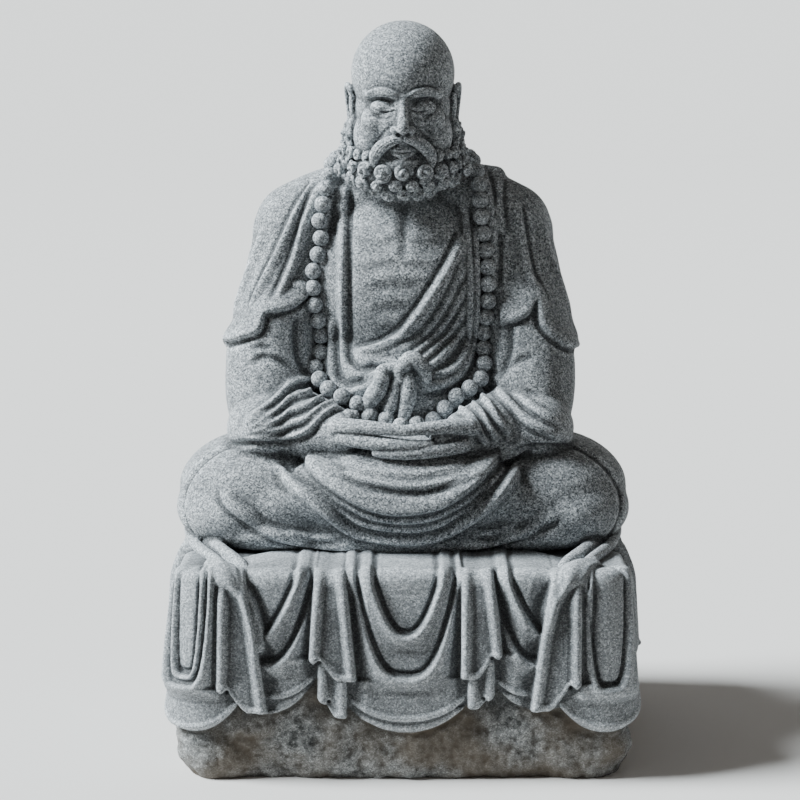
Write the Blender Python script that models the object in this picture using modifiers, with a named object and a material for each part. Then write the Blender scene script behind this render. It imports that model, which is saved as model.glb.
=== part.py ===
"""A monk seated in meditation with a rosary, on a cloth-covered block above rough rock.

The work is carved from one block of granite, so it is one solid. Its masses are
primitives and curves fused by a voxel remesh. The cloth's folds and hems are then
pressed into the surface along smooth lines, and the whole is cut flat to stand.
+X is the viewer's right, +Y the back and +Z up. The origin is on the ground, under
the middle of the seat.
"""

import math

import bmesh
import bpy
import numpy as np
from mathutils import Euler, Matrix, Vector, noise
from mathutils.bvhtree import BVHTree

# Driving sizes, in metres
FIGURE_HEIGHT = 0.572
SEAT_WIDTH = 0.474
SEAT_DEPTH = 0.390
SEAT_TOP = 0.228
SEAT_CORNER = 0.034
SEAT_EDGE = 0.005

# The cloth over the seat, in metres
CLOTH_DROP = 0.164
SWAG_THICKNESS = 0.009
UNDER_THICKNESS = 0.005
TAB_THICKNESS = 0.015
SEAT_FOLD = 0.008
SEAT_ROLL_WIDTH = 0.010
SEAT_STEEP = 0.0045
SEAT_GENTLE = 0.018
SEAT_CURL = 0.0035
HEM_ROLL = 0.002
HEM_WIDTH = 0.005
FLARE = 0.06
SIDE_SNUG = 0.45
SEAT_SOFT = 0.0022
SIDE_SWAGS = 3
BACK_SWAGS = 2

# The rough rock under the cloth: its lumps, and how its foot draws in
ROCK_LUMP = 0.007
ROCK_LUMP_SPAN = 0.045
ROCK_OUT = 0.007
ROCK_FOOT = 0.014
ROCK_FOOT_HEIGHT = 0.034

# The head from chin to crown and its chin's place, in shares of the figure's height, and its bow in degrees
HEAD_SHARE = 0.288
CHIN_PLACE = (0, -0.014, 0.715)
HEAD_BOW = 10

# The rosary: its beads' diameter and spacing, and how far they stand out as a share of the diameter
BEAD = 0.0185
BEAD_PITCH = 0.0186
BEAD_LIFT = 0.36

# The furrow beside a fold's steep side, as a share of the fold's height
FURROW = 0.45

# How far the block is modelled below the ground, where the whole is cut off flat
SUNK = 0.012

# How finely the body, the whole and the head are fused, the head's as a share of its height
VOXEL = 0.004
FINE_VOXEL = 0.003
HEAD_VOXEL = 0.012

# The triangles that the finished carving keeps
FACES = 9800

# The granite
GRANITE_COLOUR = (0.37, 0.385, 0.39, 1)
GRANITE_ROUGHNESS = 0.85


def at(x, y, z):
    """A point of the figure, in shares of its height from the middle of the seat's top."""
    return Vector((x, y, z)) * FIGURE_HEIGHT + Vector((0, 0, SEAT_TOP))


def new_object(name, mesh):
    made = bpy.data.objects.new(name, mesh)
    bpy.context.scene.collection.objects.link(made)
    return made


def ball(centre, radii, turn=(0, 0, 0)):
    """An ellipsoid. Its centre and radii are in metres and its turn in degrees."""
    shape = bmesh.new()
    bmesh.ops.create_uvsphere(shape, u_segments=48, v_segments=24, radius=1)
    angles = Euler([math.radians(a) for a in turn])
    place = Matrix.LocRotScale(centre, angles, Vector(radii))
    bmesh.ops.transform(shape, matrix=place, verts=shape.verts)
    mesh = bpy.data.meshes.new("ball")
    shape.to_mesh(mesh)
    shape.free()
    return new_object("ball", mesh)


def limb(points, radii):
    """A round tube through the points that swells and thins, with a ball at each end."""
    curve = bpy.data.curves.new("limb", "CURVE")
    curve.dimensions = "3D"
    curve.bevel_depth = 1
    curve.bevel_resolution = 6
    curve.use_fill_caps = True
    curve.resolution_u = 10
    spline = curve.splines.new("NURBS")
    spline.points.add(len(points) - 1)
    for knot, point, radius in zip(spline.points, points, radii):
        knot.co = (*point, 1)
        knot.radius = radius
    spline.use_endpoint_u = True
    spline.order_u = min(4, len(points))
    tube = new_object("limb", curve)
    bpy.context.view_layer.update()
    graph = bpy.context.evaluated_depsgraph_get()
    mesh = bpy.data.meshes.new_from_object(tube.evaluated_get(graph))
    bpy.data.objects.remove(tube)
    shape = bmesh.new()
    shape.from_mesh(mesh)
    bmesh.ops.remove_doubles(shape, verts=shape.verts, dist=1e-6)
    shape.to_mesh(mesh)
    shape.free()
    ends = [ball(points[i], [radii[i]] * 3) for i in (0, -1)]
    return joined("limb", [new_object("limb", mesh), *ends])


def joined(name, objects):
    """One object that holds all the meshes, which it uses up."""
    shape = bmesh.new()
    for part in objects:
        shape.from_mesh(part.data)
        bpy.data.objects.remove(part)
    mesh = bpy.data.meshes.new(name)
    shape.to_mesh(mesh)
    shape.free()
    return new_object(name, mesh)


def settle(form):
    """Applies the modifiers of an object to its mesh."""
    bpy.context.view_layer.update()
    graph = bpy.context.evaluated_depsgraph_get()
    form.data = bpy.data.meshes.new_from_object(form.evaluated_get(graph))
    form.modifiers.clear()
    return form


def fuse(name, objects, voxel, soften=0.0):
    """The objects as one skin. Creases narrower than soften are rounded off."""
    form = joined(name, objects)
    remesh = form.modifiers.new("fuse", "REMESH")
    remesh.mode = "VOXEL"
    remesh.voxel_size = voxel
    if soften:
        smooth = form.modifiers.new("soften", "SMOOTH")
        smooth.factor = 0.5
        smooth.iterations = max(1, round(2 * (soften / voxel) ** 2))
    return settle(form)


def mirrored(make):
    """What make(side) builds for the left and for the right."""
    return [make(side) for side in (-1, 1)]


def eased(x, low, high):
    """0 below low, 1 above high and smooth between them."""
    share = np.clip((x - low) / (high - low), 0, 1)
    return share * share * (3 - 2 * share)


def bump(distance, width):
    """A round ridge, 1 on its line and 0 from width on."""
    return 0.5 + 0.5 * np.cos(np.pi * np.clip(np.abs(distance) / width, 0, 1))


def points_of(form):
    """The object's vertices and their normals, as arrays."""
    count = len(form.data.vertices)
    points, normals = np.empty(count * 3), np.empty(count * 3)
    form.data.vertices.foreach_get("co", points)
    form.data.vertex_normals.foreach_get("vector", normals)
    return points.reshape(-1, 3), normals.reshape(-1, 3)


def move_out(form, points, normals, amount):
    """Moves each vertex along its normal."""
    form.data.vertices.foreach_set("co", (points + normals * amount[:, None]).ravel())
    form.data.update()


def smooth_line(points, spacing):
    """Even points along a smooth curve that passes through the given ones."""
    knots = np.array(points, float)
    before, after = 2 * knots[0] - knots[1], 2 * knots[-1] - knots[-2]
    padded = np.vstack([before, knots, after])
    dense = []
    for i in range(1, len(padded) - 2):
        a, b, c, d = padded[i - 1 : i + 3]
        u = np.linspace(0, 1, 24, endpoint=False)[:, None]
        bend, twist = 2 * a - 5 * b + 4 * c - d, 3 * b - a - 3 * c + d
        dense.append(0.5 * (2 * b + (c - a) * u + bend * u**2 + twist * u**3))
    dense = np.vstack([*dense, knots[-1:]])
    run = np.concatenate([[0], np.cumsum(np.linalg.norm(np.diff(dense, axis=0), axis=1))])
    count = max(3, int(run[-1] / spacing) + 1)
    even = np.linspace(0, run[-1], count)
    return np.column_stack([np.interp(even, run, dense[:, i]) for i in range(dense.shape[1])])


VIEWS = {"front": (0, 1), "back": (0, -1), "left": (1, 0), "right": (-1, 0)}


def traced(tree, line, spacing, view="front"):
    """A line drawn on a view, in (across, up) as that view shows them, as points on the surface."""
    ahead = Vector((*VIEWS[view], 0))
    rightward = ahead.cross(Vector((0, 0, 1)))
    found = []
    for across, up in smooth_line(line, spacing):
        start = rightward * across + Vector((0, 0, up)) - ahead
        point, normal, _, _ = tree.ray_cast(start, ahead)
        if point is None:
            previous = found[-1][0] if found else start + ahead
            point, normal, _, _ = tree.find_nearest(start + ahead * (previous - start).dot(ahead))
        found.append((point, normal))
    return found


def between(first, last, share):
    """The line a share of the way from the first to the last, which have as many points."""
    return [tuple(a + (b - a) * share for a, b in zip(p, q)) for p, q in zip(first, last)]


def family(first, last, count):
    """Lines that pass evenly from the first to the last."""
    return [between(first, last, i / (count - 1)) for i in range(count)]


def flipped(line):
    """The line's mirror image, drawn the other way so that its left side stays its left side."""
    return [(-x, z) for x, z in reversed(line)]


def fold(line, height, left, right, taper=0.035, view="front"):
    """A ridge along a drawn line, or a groove where its height is negative, and its two widths."""
    return {"line": line, "height": height, "left": left, "right": right, "taper": taper, "view": view}


def carve(form, folds, spacing, unit, base):
    """Presses the folds into the form. Their sizes are in units, and up is measured from the base."""
    points, normals = points_of(form)
    tree = BVHTree.FromPolygons(points.tolist(), [p.vertices[:] for p in form.data.polygons])
    ridges, grooves = np.zeros(len(points)), np.zeros(len(points))
    for stroke in folds:
        drawn = [(across * unit, up * unit + base) for across, up in stroke["line"]]
        found = traced(tree, drawn, spacing, stroke["view"])
        path = np.array([p for p, _ in found])
        out = np.array([n for _, n in found])
        along = np.gradient(path, axis=0)
        along /= np.linalg.norm(along, axis=1)[:, None] + 1e-12
        leftward = np.cross(out, along)
        run = np.concatenate([[0], np.cumsum(np.linalg.norm(np.diff(path, axis=0), axis=1))])
        left, right, taper = stroke["left"] * unit, stroke["right"] * unit, stroke["taper"] * unit
        narrow = min(left, right)
        reach = max(left, right, 2.5 * narrow)
        near = np.all((points > path.min(axis=0) - reach) & (points < path.max(axis=0) + reach), axis=1)
        chosen = np.nonzero(near)[0]
        for part in np.array_split(chosen, len(chosen) // 4000 + 1):
            apart = points[part][:, None, :] - path[None]
            nearest = np.argmin((apart**2).sum(axis=2), axis=1)
            offset = apart[np.arange(len(part)), nearest]
            distance = np.linalg.norm(offset, axis=1)
            on_left = (offset * leftward[nearest]).sum(axis=1) > 0
            facing = (normals[part] * out[nearest]).sum(axis=1) > 0
            ends = eased(run[nearest], -spacing, taper) * eased(run[-1] - run[nearest], -spacing, taper)
            profile = bump(distance, np.where(on_left, left, right))
            if stroke["height"] > 0 and left != right:
                steep = on_left == (left < right)
                profile = profile - FURROW * bump(distance - 1.5 * narrow, narrow) * steep
            rise = stroke["height"] * unit * profile * ends * facing
            ridges[part] = np.maximum(ridges[part], rise)
            grooves[part] = np.minimum(grooves[part], rise)
    move_out(form, points, normals, ridges + grooves)
    return form


def figure_masses():
    """The clothed body without its folds: legs, trunk, arms, sleeves and the cape over the shoulders."""
    h = FIGURE_HEIGHT
    trunk = [
        ball(at(0, 0.05, 0.27), (0.20 * h, 0.15 * h, 0.21 * h)),
        ball(at(0, 0.05, 0.49), (0.20 * h, 0.135 * h, 0.20 * h)),
        ball(at(0, 0.11, 0.38), (0.25 * h, 0.125 * h, 0.34 * h)),
        limb(
            [
                at(-0.205, 0.07, 0.602), at(-0.09, 0.09, 0.668), at(0.09, 0.09, 0.668),
                at(0.205, 0.07, 0.602),
            ],
            [0.088 * h, 0.09 * h, 0.09 * h, 0.088 * h],
        ),
        limb([at(0, 0.055, 0.66), at(0, 0.01, 0.80)], [0.09 * h, 0.072 * h]),
    ]
    legs = [
        ball(at(0, 0.0, 0.075), (0.36 * h, 0.19 * h, 0.105 * h)),
        ball(at(0, 0.13, 0.12), (0.30 * h, 0.14 * h, 0.13 * h)),
        ball(at(0, -0.12, 0.095), (0.22 * h, 0.125 * h, 0.09 * h)),
        limb(
            [
                at(-0.27, -0.07, 0.05), at(-0.1, -0.165, 0.035), at(0.1, -0.165, 0.035),
                at(0.27, -0.07, 0.05),
            ],
            [0.07 * h, 0.060 * h, 0.060 * h, 0.07 * h],
        ),
    ]

    def arm(side):
        return limb(
            [
                at(side * 0.20, 0.06, 0.60),
                at(side * 0.225, 0.05, 0.50),
                at(side * (0.260 - 0.004 * side), 0.02, 0.37),
                at(side * (0.252 - 0.008 * side), -0.01, 0.20),
                at(side * 0.19, -0.10, 0.235),
                at(side * 0.12, -0.15, 0.225),
            ],
            [0.08 * h, 0.085 * h, 0.09 * h, 0.095 * h, 0.07 * h, 0.045 * h],
        )

    def cape(side):
        return limb(
            [at(side * 0.195, 0.07, 0.590), at(side * 0.235, 0.06, 0.47), at(side * 0.275, 0.05, 0.39)],
            [0.09 * h, 0.085 * h, 0.068 * h],
        )

    def sleeve(side):
        return ball(
            at(side * (0.240 - 0.005 * side), -0.04, 0.225), (0.095 * h, 0.12 * h, 0.075 * h),
            (0, side * 8, side * 20),
        )

    def knee(side):
        return ball(at(side * 0.275, -0.015, 0.103), (0.164 * h, 0.165 * h, 0.102 * h))

    def under_knee(side):
        return ball(at(side * 0.312, -0.045, 0.065), (0.131 * h, 0.145 * h, 0.085 * h))

    def shin(side):
        return ball(at(side * 0.14, -0.09, 0.080), (0.25 * h, 0.105 * h, 0.080 * h), (0, 0, side * 14))

    sides = [
        *mirrored(arm), *mirrored(cape), *mirrored(sleeve), *mirrored(knee), *mirrored(under_knee),
        *mirrored(shin),
    ]
    collar = limb([at(0.13, 0.07, 0.70), at(0.185, 0.06, 0.705)], [0.03 * h, 0.018 * h])
    return [*trunk, *legs, *sides, collar]


def lap_folds():
    """The robe over the crossed legs, in shares of the figure's height."""
    inner = [(-0.12, 0.178), (-0.057, 0.162), (0.034, 0.158), (0.127, 0.172)]
    middle = [(-0.12, 0.166), (-0.057, 0.144), (0.04, 0.136), (0.157, 0.164)]
    deep = [
        (-0.200, 0.185), (-0.155, 0.150), (-0.100, 0.114), (-0.053, 0.094), (0.0, 0.088),
        (0.067, 0.099), (0.121, 0.130), (0.176, 0.172), (0.250, 0.200),
    ]
    lowest = [
        (-0.221, 0.195), (-0.177, 0.135), (-0.150, 0.108), (-0.115, 0.075), (-0.065, 0.052),
        (0.0, 0.043), (0.04, 0.043), (0.085, 0.055), (0.150, 0.100), (0.190, 0.140), (0.220, 0.180),
    ]
    trough = [
        (-0.205, 0.185), (-0.165, 0.142), (-0.118, 0.103), (-0.075, 0.080), (-0.03, 0.068),
        (0.02, 0.065), (0.07, 0.076), (0.130, 0.112), (0.175, 0.155),
    ]
    calf_left = [
        (-0.320, 0.154), (-0.308, 0.112), (-0.272, 0.070), (-0.230, 0.044), (-0.177, 0.027),
        (-0.100, 0.019), (-0.060, 0.016),
    ]
    calf_right = [(0.10, 0.013), (0.163, 0.019), (0.205, 0.034), (0.250, 0.053), (0.302, 0.088)]
    knee_rim = [
        (-0.24, 0.196), (-0.32, 0.188), (-0.375, 0.165), (-0.412, 0.125), (-0.424, 0.075),
        (-0.405, 0.02),
    ]
    folds = [
        fold(knee_rim, -0.008, 0.010, 0.014),
        fold(flipped(knee_rim), -0.008, 0.010, 0.014),
        fold(inner, 0.005, 0.021, 0.009),
        fold(middle, 0.009, 0.028, 0.010),
        fold(deep, 0.016, 0.045, 0.012),
        fold(trough, -0.010, 0.018, 0.018),
        fold(lowest, 0.017, 0.014, 0.030),
        fold(calf_left, 0.009, 0.028, 0.023),
        fold(calf_right, 0.009, 0.028, 0.023),
        fold([(-0.239, 0.059), (-0.192, 0.048), (-0.147, 0.044), (-0.105, 0.048)], 0.006, 0.014, 0.008),
        fold([(0.13, 0.046), (0.18, 0.050), (0.23, 0.066)], 0.006, 0.014, 0.008),
    ]
    return folds


def chest_folds():
    """The bare chest and the robe's edges round it."""
    strip_left = [
        (-0.112, 0.69), (-0.113, 0.58), (-0.114, 0.447), (-0.112, 0.362), (-0.097, 0.334),
        (-0.069, 0.326), (-0.03, 0.345),
    ]
    outer_left = [
        (-0.135, 0.44), (-0.135, 0.345), (-0.128, 0.31), (-0.105, 0.295), (-0.075, 0.303),
        (-0.045, 0.325), (-0.02, 0.336),
    ]
    strip_right = [
        (0.118, 0.66), (0.127, 0.52), (0.126, 0.40), (0.115, 0.355), (0.09, 0.333), (0.045, 0.322),
    ]
    outer_right = [
        (0.140, 0.62), (0.142, 0.45), (0.134, 0.375), (0.112, 0.330), (0.081, 0.310), (0.03, 0.302),
    ]
    rim = [
        (0.117, 0.60), (0.090, 0.543), (0.046, 0.473), (0.002, 0.414), (-0.042, 0.383),
        (-0.104, 0.366),
    ]
    last = [(0.124, 0.43), (0.112, 0.405), (0.090, 0.378), (0.068, 0.357), (0.05, 0.345), (0.03, 0.336)]
    second = [
        (0.124, 0.555), (0.090, 0.475), (0.046, 0.410), (0.002, 0.374), (-0.042, 0.355),
        (-0.100, 0.350),
    ]
    folds = [
        fold(strip_left, 0.010, 0.009, 0.024),
        fold(outer_left, 0.010, 0.010, 0.021),
        fold(strip_right, 0.010, 0.014, 0.014),
        fold(outer_right, 0.009, 0.012, 0.021),
        fold(rim, 0.012, 0.052, 0.009),
        fold([(0, 0.67), (0.002, 0.60), (0, 0.53)], -0.007, 0.024, 0.024, 0.052),
        fold(
            [(-0.10, 0.60), (-0.05, 0.575), (0, 0.585), (0.05, 0.575), (0.10, 0.60)], -0.004, 0.021,
            0.035, 0.052,
        ),
    ]
    folds += [fold(line, 0.008, 0.017, 0.009) for line in family(second, last, 4)]
    for i in range(4):
        up = 0.535 - 0.042 * i
        reach = 0.095 - 0.012 * i
        rib = [(-reach, up - 0.012), (-0.03, up + 0.004), (0.03, up), (0.085 - 0.03 * i, up - 0.01)]
        folds.append(fold(rib, -0.003, 0.019, 0.019, 0.052))
    return folds


def cape_folds():
    """The outer robe over shoulders and upper arms, down to its hems."""
    hem_left = [
        (-0.35, 0.378), (-0.31, 0.394), (-0.278, 0.409), (-0.266, 0.44), (-0.245, 0.447),
        (-0.215, 0.455), (-0.19, 0.475), (-0.184, 0.50),
    ]
    hem_right = [
        (0.192, 0.42), (0.215, 0.428), (0.240, 0.442), (0.257, 0.468), (0.268, 0.42), (0.304, 0.384),
        (0.345, 0.366),
    ]
    falls = [
        [(-0.203, 0.686), (-0.222, 0.641), (-0.255, 0.562), (-0.290, 0.480)],
        [(-0.207, 0.667), (-0.224, 0.618), (-0.245, 0.548), (-0.258, 0.492), (-0.266, 0.447)],
        [(-0.167, 0.690), (-0.177, 0.583), (-0.186, 0.506)],
    ]
    flaps = [
        [(0.222, 0.66), (0.237, 0.562), (0.249, 0.513), (0.266, 0.475), (0.272, 0.44)],
        [(0.156, 0.72), (0.169, 0.667), (0.179, 0.583), (0.178, 0.478)],
        [(0.190, 0.71), (0.187, 0.651), (0.192, 0.58)],
    ]
    folds = [fold(hem_left, 0.014, 0.052, 0.007, 0.007), fold(hem_right, 0.014, 0.052, 0.007, 0.007)]
    folds += [fold(line, 0.009, 0.028, 0.010) for line in falls]
    folds += [fold(line, 0.009, 0.010, 0.028) for line in flaps]
    folds.append(fold([(-0.20, 0.63), (-0.215, 0.56), (-0.225, 0.50)], -0.006, 0.02, 0.02, 0.05))
    folds.append(fold([(0.205, 0.60), (0.215, 0.54), (0.225, 0.48)], -0.006, 0.02, 0.02, 0.05))
    return folds


def sleeve_folds():
    """The sleeves, with folds that gather at the elbows and open over the lap."""
    first_left = [
        (-0.309, 0.239), (-0.247, 0.278), (-0.215, 0.306), (-0.188, 0.312), (-0.162, 0.310),
        (-0.136, 0.299), (-0.116, 0.285), (-0.083, 0.252),
    ]
    last_left = [
        (-0.313, 0.214), (-0.243, 0.214), (-0.210, 0.219), (-0.182, 0.231), (-0.155, 0.258),
        (-0.136, 0.270), (-0.116, 0.272), (-0.087, 0.252),
    ]
    first_right = [(0.105, 0.282), (0.134, 0.295), (0.160, 0.280), (0.179, 0.252), (0.206, 0.218)]
    last_right = [(0.077, 0.255), (0.107, 0.268), (0.133, 0.255), (0.149, 0.222), (0.162, 0.201)]
    elbow_right = [
        [(0.179, 0.300), (0.206, 0.276), (0.234, 0.248), (0.271, 0.227), (0.305, 0.214)],
        [(0.208, 0.295), (0.258, 0.263), (0.305, 0.235)],
    ]
    folds = [fold(line, 0.010, 0.018, 0.008) for line in family(first_left, last_left, 5)]
    folds += [fold(line, 0.010, 0.014, 0.009) for line in family(first_right, last_right, 3)]
    folds += [fold(line, 0.008, 0.020, 0.009) for line in elbow_right]
    creases = [
        [(-0.303, 0.372), (-0.274, 0.381), (-0.240, 0.368)],
        [(-0.305, 0.336), (-0.274, 0.360), (-0.243, 0.357), (-0.205, 0.330)],
        [(0.185, 0.322), (0.215, 0.350), (0.262, 0.368)],
    ]
    folds += [fold(line, -0.006, 0.012, 0.017) for line in creases]
    inner = [(-0.205, 0.446), (-0.205, 0.372), (-0.185, 0.312)]
    folds += [fold(inner, -0.009, 0.017, 0.017), fold(flipped(inner), -0.009, 0.017, 0.017)]
    return folds


def back_folds():
    """The back's drapery: a hem across it and folds that fan out from the neck, plainer than the front."""
    hem = [(-0.33, 0.375), (-0.18, 0.335), (0, 0.325), (0.18, 0.335), (0.33, 0.375)]
    folds = [fold(hem, 0.012, 0.052, 0.009, view="back")]
    upper = family(
        [(-0.12, 0.71), (-0.21, 0.56), (-0.27, 0.40)], [(0.12, 0.71), (0.21, 0.56), (0.27, 0.40)], 7,
    )
    lower = family(
        [(-0.24, 0.31), (-0.27, 0.20), (-0.36, 0.08)], [(0.24, 0.31), (0.27, 0.20), (0.36, 0.08)], 7,
    )
    folds += [fold(line, 0.009, 0.028, 0.028, 0.070, view="back") for line in upper + lower]
    for view, way in (("left", -1), ("right", 1)):
        drawn = family(
            [(way * 0.02, 0.62), (way * 0.02, 0.50), (way * 0.04, 0.41)],
            [(way * 0.12, 0.64), (way * 0.15, 0.50), (way * 0.16, 0.38)], 3,
        )
        folds += [fold(line, 0.007, 0.021, 0.021, 0.052, view=view) for line in drawn]
        thigh = family(
            [(way * -0.09, 0.14), (way * 0.02, 0.16), (way * 0.14, 0.22)],
            [(way * -0.11, 0.05), (way * 0.03, 0.06), (way * 0.17, 0.08)], 3,
        )
        folds += [fold(line, 0.007, 0.021, 0.017, 0.052, view=view) for line in thigh]
    return folds


def figure_place(x, z):
    """Shares of the figure's height on a drawn view, in metres."""
    return x * FIGURE_HEIGHT, z * FIGURE_HEIGHT + SEAT_TOP


def figure():
    """The clothed body with its folds carved."""
    form = fuse("figure", figure_masses(), VOXEL, 0.010)
    folds = lap_folds() + chest_folds() + cape_folds() + sleeve_folds() + back_folds()
    return carve(form, folds, VOXEL / 2, FIGURE_HEIGHT, SEAT_TOP)


def hems_on_seat():
    """The robe's hem: a rim behind each knee, and two folds that run forward onto the seat."""
    h = FIGURE_HEIGHT
    outer = [
        (0.405, 0.03, 0.045), (0.425, -0.03, 0.025), (0.408, -0.11, 0.006), (0.388, -0.165, 0.002),
        (0.355, -0.245, 0.0),
        (0.328, -0.320, 0.0), (0.318, -0.352, -0.02), (0.315, -0.356, -0.06),
    ]
    inner = [
        (0.38, 0.0, 0.030), (0.385, -0.09, 0.010), (0.352, -0.180, 0.002), (0.318, -0.250, 0.0),
        (0.292, -0.320, 0.0), (0.284, -0.350, -0.02), (0.283, -0.356, -0.06),
    ]
    made = []
    for side in (-1, 1):
        made.append(ball(at(side * 0.275, 0.035, 0.088), (0.169 * h, 0.115 * h, 0.117 * h)))
        for route, radius in ((outer, 0.011), (inner, 0.016)):
            made.append(limb([at(side * x, y, z) for x, y, z in route], [radius * h] * len(route)))
    return made


def hands():
    """Both hands laid together on the lap, palms up and thumbs touching."""
    h = FIGURE_HEIGHT
    made = []
    for side in (-1, 1):
        lower = 0.015 if side == 1 else 0
        palm = [
            at(side * 0.160, -0.140, 0.236), at(side * 0.115, -0.170, 0.230),
            at(side * 0.07, -0.195, 0.221),
        ]
        made.append(limb(palm, [0.030 * h, 0.030 * h, 0.020 * h]))
        thumb = [
            at(side * 0.125, -0.185, 0.240), at(side * 0.085, -0.205, 0.244),
            at(side * 0.045, -0.215, 0.243), at(side * 0.004, -0.219, 0.238),
        ]
        made.append(limb(thumb, [0.019 * h, 0.015 * h, 0.0125 * h, 0.011 * h]))
        for i in range(4):
            back = 0.021 * i
            finger = [
                at(side * 0.115, -0.192 + back, 0.222 - lower),
                at(side * 0.055, -0.222 + back, 0.211 - lower),
                at(side * -0.005, -0.226 + back, 0.208 - lower),
                at(side * (-0.050 + 0.004 * i), -0.214 + back, 0.211 - lower),
            ]
            made.append(limb(finger, [0.015 * h, 0.0135 * h, 0.0125 * h, 0.009 * h]))
    return made


def body_tree(form):
    points, _ = points_of(form)
    return BVHTree.FromPolygons(points.tolist(), [p.vertices[:] for p in form.data.polygons])


def rosary(tree):
    """Beads along a strand that lies on the robe, and round the back of the neck."""
    left = [
        (-0.137, 0.715), (-0.150, 0.69), (-0.155, 0.645), (-0.165, 0.58), (-0.169, 0.50),
        (-0.170, 0.40), (-0.167, 0.325),
    ]
    middle = [
        (-0.146, 0.302), (-0.110, 0.282), (-0.064, 0.253), (0.004, 0.240), (0.056, 0.244),
        (0.104, 0.283), (0.135, 0.303),
    ]
    right = [
        (0.148, 0.33), (0.156, 0.38), (0.162, 0.47), (0.160, 0.55), (0.153, 0.62), (0.146, 0.68),
        (0.140, 0.715),
    ]
    front = traced(tree, [figure_place(*p) for p in left + middle + right], BEAD_PITCH / 4)
    nape = [(0.140, 0.02, 0.72), (0.125, 0.09, 0.74), (0.07, 0.15, 0.74), (0, 0.17, 0.735)]
    nape += [(-x, y, z) for x, y, z in reversed(nape[:-1])]
    back = [tree.find_nearest(Vector(p))[:2] for p in smooth_line([at(*p) for p in nape], BEAD_PITCH / 4)]
    raised = [point + normal * BEAD * BEAD_LIFT for point, normal in front + back]
    route = smooth_line([raised[i] for i in range(0, len(raised), 4)], BEAD_PITCH)
    return [ball(p, [BEAD / 2] * 3) for p in route]


def strap(tree, line, radii, lift=0.3):
    """A soft roll that lies along a drawn line on the robe."""
    found = traced(tree, [figure_place(*p) for p in line], 0.01 * FIGURE_HEIGHT)
    widths = np.interp(
        np.linspace(0, 1, len(found)), np.linspace(0, 1, len(radii)), radii,
    ) * FIGURE_HEIGHT
    return limb([p + n * width * lift for (p, n), width in zip(found, widths)], list(widths))


def knot(tree):
    """The sash's knot: a loop and three tails that fall to the lap."""
    loop = [
        (-0.004, 0.318), (-0.006, 0.338), (0.008, 0.352), (0.030, 0.349), (0.042, 0.334),
        (0.044, 0.318),
    ]
    inner = [(0.012, 0.322), (0.013, 0.334), (0.024, 0.338), (0.030, 0.326)]
    tails = [
        (
            [(-0.020, 0.342), (-0.040, 0.330), (-0.050, 0.297), (-0.068, 0.268)],
            [0.013, 0.016, 0.019, 0.014],
        ),
        ([(-0.012, 0.332), (-0.014, 0.300), (-0.026, 0.262)], [0.010, 0.013, 0.012]),
        ([(0.006, 0.332), (0.010, 0.295), (0.002, 0.250)], [0.013, 0.017, 0.013]),
    ]
    made = [
        strap(tree, loop, [0.012, 0.016, 0.017, 0.015, 0.011], 0.7),
        strap(tree, inner, [0.008, 0.008], 0.4),
    ]
    return made + [strap(tree, line, radii, 0.5) for line, radii in tails]


def head_masses():
    """The skull, cheeks and brow in heads: the chin is at 0, the crown at 1 and the face looks along -Y."""
    nose = [(0, -0.345, 0.565), (0, -0.372, 0.500), (0, -0.412, 0.420), (0, -0.438, 0.368)]
    made = [
        ball((0, 0.03, 0.655), (0.345, 0.39, 0.345)),
        ball((0, 0.00, 0.45), (0.318, 0.31, 0.30)),
        ball((0, -0.10, 0.42), (0.250, 0.275, 0.33)),
        ball((0, -0.20, 0.23), (0.150, 0.175, 0.14)),
        ball((0, -0.17, 0.10), (0.190, 0.17, 0.12)),
        ball((0, -0.08, 0.03), (0.34, 0.27, 0.12)),
        limb(nose, [0.026, 0.027, 0.034, 0.042]),
    ]
    for side in (-1, 1):
        brow = [
            (side * 0.035, -0.350, 0.570), (side * 0.11, -0.355, 0.596), (side * 0.19, -0.305, 0.590),
            (side * 0.245, -0.225, 0.555),
        ]
        made += [
            ball((side * 0.160, -0.240, 0.385), (0.100, 0.085, 0.100)),
            ball((side * 0.205, -0.090, 0.260), (0.125, 0.170, 0.170)),
            limb(brow, [0.028, 0.034, 0.032, 0.025]),
        ]
    return made


def features():
    """The closed lids, nostrils, lips, moustache and long ears, in heads."""
    made = []
    for side in (-1, 1):
        moustache = [
            (side * 0.016, -0.408, 0.292), (side * 0.075, -0.395, 0.272), (side * 0.140, -0.340, 0.205),
            (side * 0.175, -0.28, 0.120),
        ]
        upper_lip = [(side * 0.085, -0.345, 0.208), (side * 0.04, -0.378, 0.221), (0, -0.384, 0.217)]
        lower_lip = [(side * 0.072, -0.345, 0.194), (side * 0.035, -0.372, 0.184), (0, -0.378, 0.181)]
        ear = [
            (side * 0.335, -0.03, 0.500), (side * 0.355, -0.02, 0.565), (side * 0.372, 0.05, 0.590),
            (side * 0.375, 0.105, 0.530), (side * 0.365, 0.095, 0.430), (side * 0.352, 0.050, 0.340),
            (side * 0.345, 0.015, 0.260),
        ]
        made += [
            ball((side * 0.128, -0.290, 0.484), (0.074, 0.066, 0.050)),
            ball((side * 0.050, -0.405, 0.352), (0.031, 0.040, 0.028)),
            ball((side * 0.335, 0.04, 0.455), (0.026, 0.075, 0.120)),
            ball((side * 0.345, 0.010, 0.265), (0.034, 0.040, 0.095)),
            limb(moustache, [0.020, 0.031, 0.034, 0.024]),
            limb(upper_lip, [0.008, 0.016, 0.016]),
            limb(lower_lip, [0.008, 0.018, 0.020]),
            limb(ear, [0.016, 0.019, 0.021, 0.021, 0.019, 0.020, 0.024]),
        ]
    return made


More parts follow.
